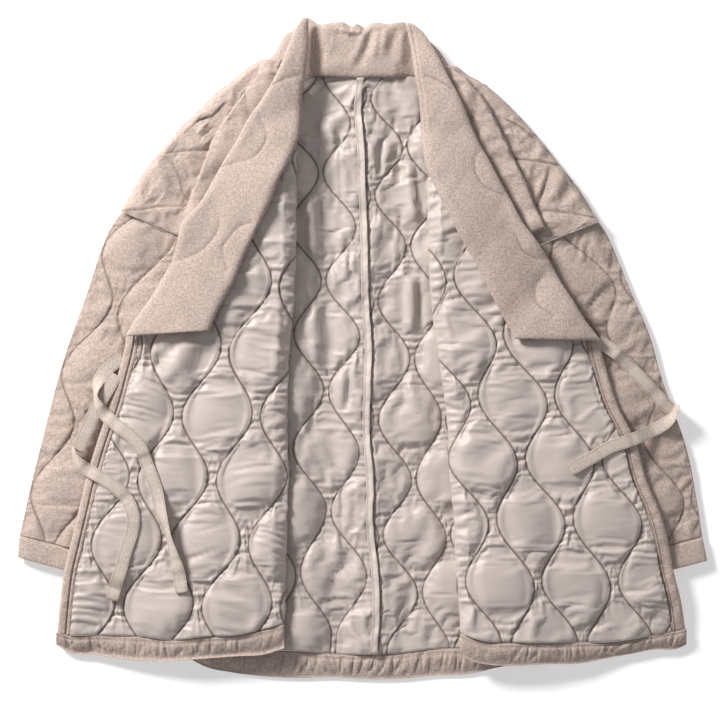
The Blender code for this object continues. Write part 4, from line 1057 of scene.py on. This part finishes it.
def band(side, bed, pile):
    """The collar band down one side of the neck and front."""
    table = BAND[side]
    outer = smooth([row.level for row in table], [row.outer for row in table])
    inner = smooth([row.level for row in table], [row.inner for row in table])
    rows = levels(table[0].level, table[-1].level, 2.5)[:, None]
    a, b = outer(rows), inner(rows)
    share = np.concatenate([[0, 0.01, 0.03, 0.06], np.linspace(0.1, 0.9, 44), [0.94, 0.97, 0.99, 1]])
    across = share[None, :]
    x = a + (b - a) * across
    # The lower end is cut a little aslant.
    low_end = np.clip(1 - (rows - rows.min()) / 45, 0, 1)
    y = rows + low_end * (BAND_END[side][0] * (1 - across) + BAND_END[side][1] * across)
    width = np.abs(b - a)
    ends = np.minimum(y.max() - y, y - y.min())
    radius = np.minimum(EDGE_RADIUS, 0.45 * width)
    thick = (rounded(across * width, FREE, radius) * rounded((1 - across) * width, FREE, radius)
             * rounded(ends, 0.4, 8))
    seed = 111 if side == "left" else 117
    away = beside(x, y, BAND_LINES[side])
    slanted = x - sign_of(side) * 0.6 * y
    ripple = 1.0 + 0.8 * waves(x / 30, y / 34, seed) + 0.5 * waves(slanted / 13, y / 40, seed + 1)
    ripple = ripple + 1.3 * (1 - np.exp(-away / 9)) - 1.0 * np.exp(-(away / 1.7) ** 2)
    ripple = ripple - 1.2 * np.exp(-((BAND_STITCH - (1 - across) * width) / 1.2) ** 2) * (side == "right")
    low, high = padded_wall(bed(x, y), BAND_PAD - 1.5, ripple, thick)
    pile.add(x, y, high)
    name = "band_" + side
    return piece(name + "_shell", shell_cloth, x, y, low, high, away + 0.3, node=name)


def collar_back(pile):
    """The band behind the neck, whose ends run under the side bands."""
    ends = np.linspace(COLLAR[0].x, COLLAR[-1].x, 150)
    pad = np.interp(ends, (-118, -70, -45, 40, 60, 108), (6, 8, COLLAR_PAD, COLLAR_PAD, 8, 6))

    def relief(x, y, across):
        crumple = waves(x / 17, across * 2.0, 121) + 0.6 * waves((x + 30 * across) / 8, across * 2.5, 123)
        return (1.5 * np.sin(np.pi * across) + 3.5 * across + 1.2 * crumple * (1 - across) ** 0.7
                + creased(x, y, COLLAR_CREASES))

    across = np.concatenate([[0, 0.02, 0.05], np.linspace(0.09, 0.93, 26), [0.97, 1]])
    return strip_along_x("collar_back_shell", COLLAR, floor, pad, ends, across,
                         (FREE, SEAM, FREE), pile, relief, "collar_back", 1.0, 2.5)


def centre_binding(bed):
    centre = outline(CENTRE_SEAM)
    rows = levels(337, -380, 2.5)[:, None]
    s = np.array([[-4.5, -4.2, -3, -1.5, 0, 1.5, 3, 4.2, 4.5]])
    x = centre(rows) + s + 0.6 * waves(rows / 14, 0 * rows, 131)
    y = rows + 0 * x
    low = bed(x, y)
    # Thin where it is sewn down on its left, rolled up on its right
    thick = BINDING_PAD * (0.3 + 0.9 * (s / 9 + 0.5)) * (0.6 + 0.4 * np.sqrt(1 - (s / 4.6) ** 2))
    thick = thick + 0.35 * waves(y / 5, s / 3, 133)
    away = np.abs(s + 2.6) + 0.3 + 0 * x
    return piece("centre_back_seam_binding", bias_satin, x, y, low, low + thick, away,
                 node="centre_back_binding")


def tie(name, bed):
    """A flat tape along its route, rolled on to its edge where the route says."""
    route = TIE[name]
    count = np.arange(len(route))
    t = np.linspace(0, len(route) - 1, 9 * len(route))
    x, y, roll = (smooth(count, [row[k] for row in route])(t) for k in range(3))
    along = np.array([np.gradient(x), np.gradient(y)])
    length = np.cumsum(np.hypot(*along))
    along = along / np.hypot(*along)
    roll = np.radians(np.clip(roll, 0, 70))
    offset = TAPE_WIDTH * np.array([[-0.5, -0.47, -0.4, -0.2, 0, 0.2, 0.4, 0.47, 0.5]])
    free = np.clip((length[-1] - length) / 5, 0, 1)  # the free end is turned in at its corners
    flat = offset * (np.cos(roll) * (0.72 + 0.28 * np.sqrt(1 - (1 - free) ** 2)))[:, None]
    px, py = x[:, None] - along[1][:, None] * flat, y[:, None] + along[0][:, None] * flat
    if name in TUCKED:  # it comes out from under the edge of the front
        outside = int(np.argmax(length > 30))
        ground = np.max(bed(px, py), axis=1, keepdims=True)
        ground[:outside] = np.minimum(ground[:outside], ground[outside])
        ground[:outside] -= 3.0 * (1 - length[:outside, None] / length[outside])
    else:
        ground = np.max(bed(px, py), axis=1, keepdims=True)
    low = ground + (offset + TAPE_WIDTH / 2) * np.sin(roll)[:, None]
    thick = TAPE_PAD / np.maximum(np.cos(roll), 0.4)[:, None]
    thick = thick * (0.75 + 0.25 * np.sqrt(1 - (offset / 8.1) ** 2))
    away = np.abs(np.abs(offset) - 6.2) + 0.4 + 0 * px
    return piece(name + "_tape", tape_cotton, px, py, low, low + thick, away,
                 offset + 0 * px, length[:, None] + 0 * px, node=name)


SIDES = ("left", "right")
plans = {}
for side in SIDES:
    for plan in (back_plan(side), front_plan(side), sleeve_plan(side), shoulder_plan(side)):
        plans[plan.name] = plan
swell(list(plans.values()))

pile = Pile()
for side in SIDES:
    lay_back(plans["back_" + side], pile)
hem_strip("back", floor, pile)
collar_back(pile)
centre_binding(pile.bed(4, 0.5, 0))
on_back = pile.bed(12, 0.4)
on_body = pile.bed(22, 0.3)
for side in SIDES:
    lay_shoulder(plans["shoulder_" + side], on_body, pile)
    lay_sleeve(plans["sleeve_" + side], pile)
    cuff(side, pile)
front_bed = pile.bed(24, 0.15)
for side in SIDES:
    lay_front(plans["front_" + side], front_bed, on_back, pile)
    front_edge(side, front_bed, pile)
    hem_strip(side, front_bed, pile)
band_bed = pile.bed(22, 0.25)
for side in SIDES:
    band(side, band_bed, pile)
for name in TIE:
    tie(name, pile.bed(7, 0.6, 0))


# Floor, light and camera

ground = bpy.data.materials.new("white_studio_floor")
ground.use_nodes = True
ground_surface = ground.node_tree.nodes["Principled BSDF"].inputs
ground_surface["Base Color"].default_value = (0.93, 0.93, 0.93, 1)
ground_surface["Roughness"].default_value = 0.9
# Lit from below as well, as a shadowless studio table is
ground_surface["Emission Color"].default_value = (1, 1, 1, 1)
ground_surface["Emission Strength"].default_value = 0.34
bm = bmesh.new()
bmesh.ops.create_grid(bm, x_segments=1, y_segments=1, size=6)
mesh = bpy.data.meshes.new("studio_floor")
bm.to_mesh(mesh)
bm.free()
mesh.materials.append(ground)
studio_floor = bpy.data.objects.new("studio_floor", mesh)
studio_floor.location.z = -0.0005
bpy.context.scene.collection.objects.link(studio_floor)


def soft_light(name, place, size, power, colour):
    light = bpy.data.lights.new(name, "AREA")
    light.shape, light.size, light.energy, light.color = "DISK", size, power, colour
    made = bpy.data.objects.new(name, light)
    made.location = place
    made.rotation_euler = (-Vector(place)).to_track_quat("-Z", "Y").to_euler()
    bpy.context.scene.collection.objects.link(made)


soft_light("key", (-2.8, 2.65, 2.45), 1.3, 268, (1.0, 0.985, 0.97))
world = bpy.data.worlds.new("studio")
world.use_nodes = True
world.node_tree.nodes["Background"].inputs["Color"].default_value = (0.96, 0.97, 1.0, 1)
world.node_tree.nodes["Background"].inputs["Strength"].default_value = 0.32
bpy.context.scene.world = world
bpy.context.scene.view_settings.view_transform = "Standard"

PHOTO_SPAN = 900.0  # millimetres across the 720 pixels of the frame
HEIGHT = 4.0
camera = bpy.data.objects.new("camera", bpy.data.cameras.new("camera"))
camera.location = (-3.1 * MM, -14.1 * MM, HEIGHT)
camera.data.sensor_width = 36
camera.data.lens = 36 * HEIGHT / (PHOTO_SPAN * MM)
bpy.context.scene.collection.objects.link(camera)
bpy.context.scene.camera = camera
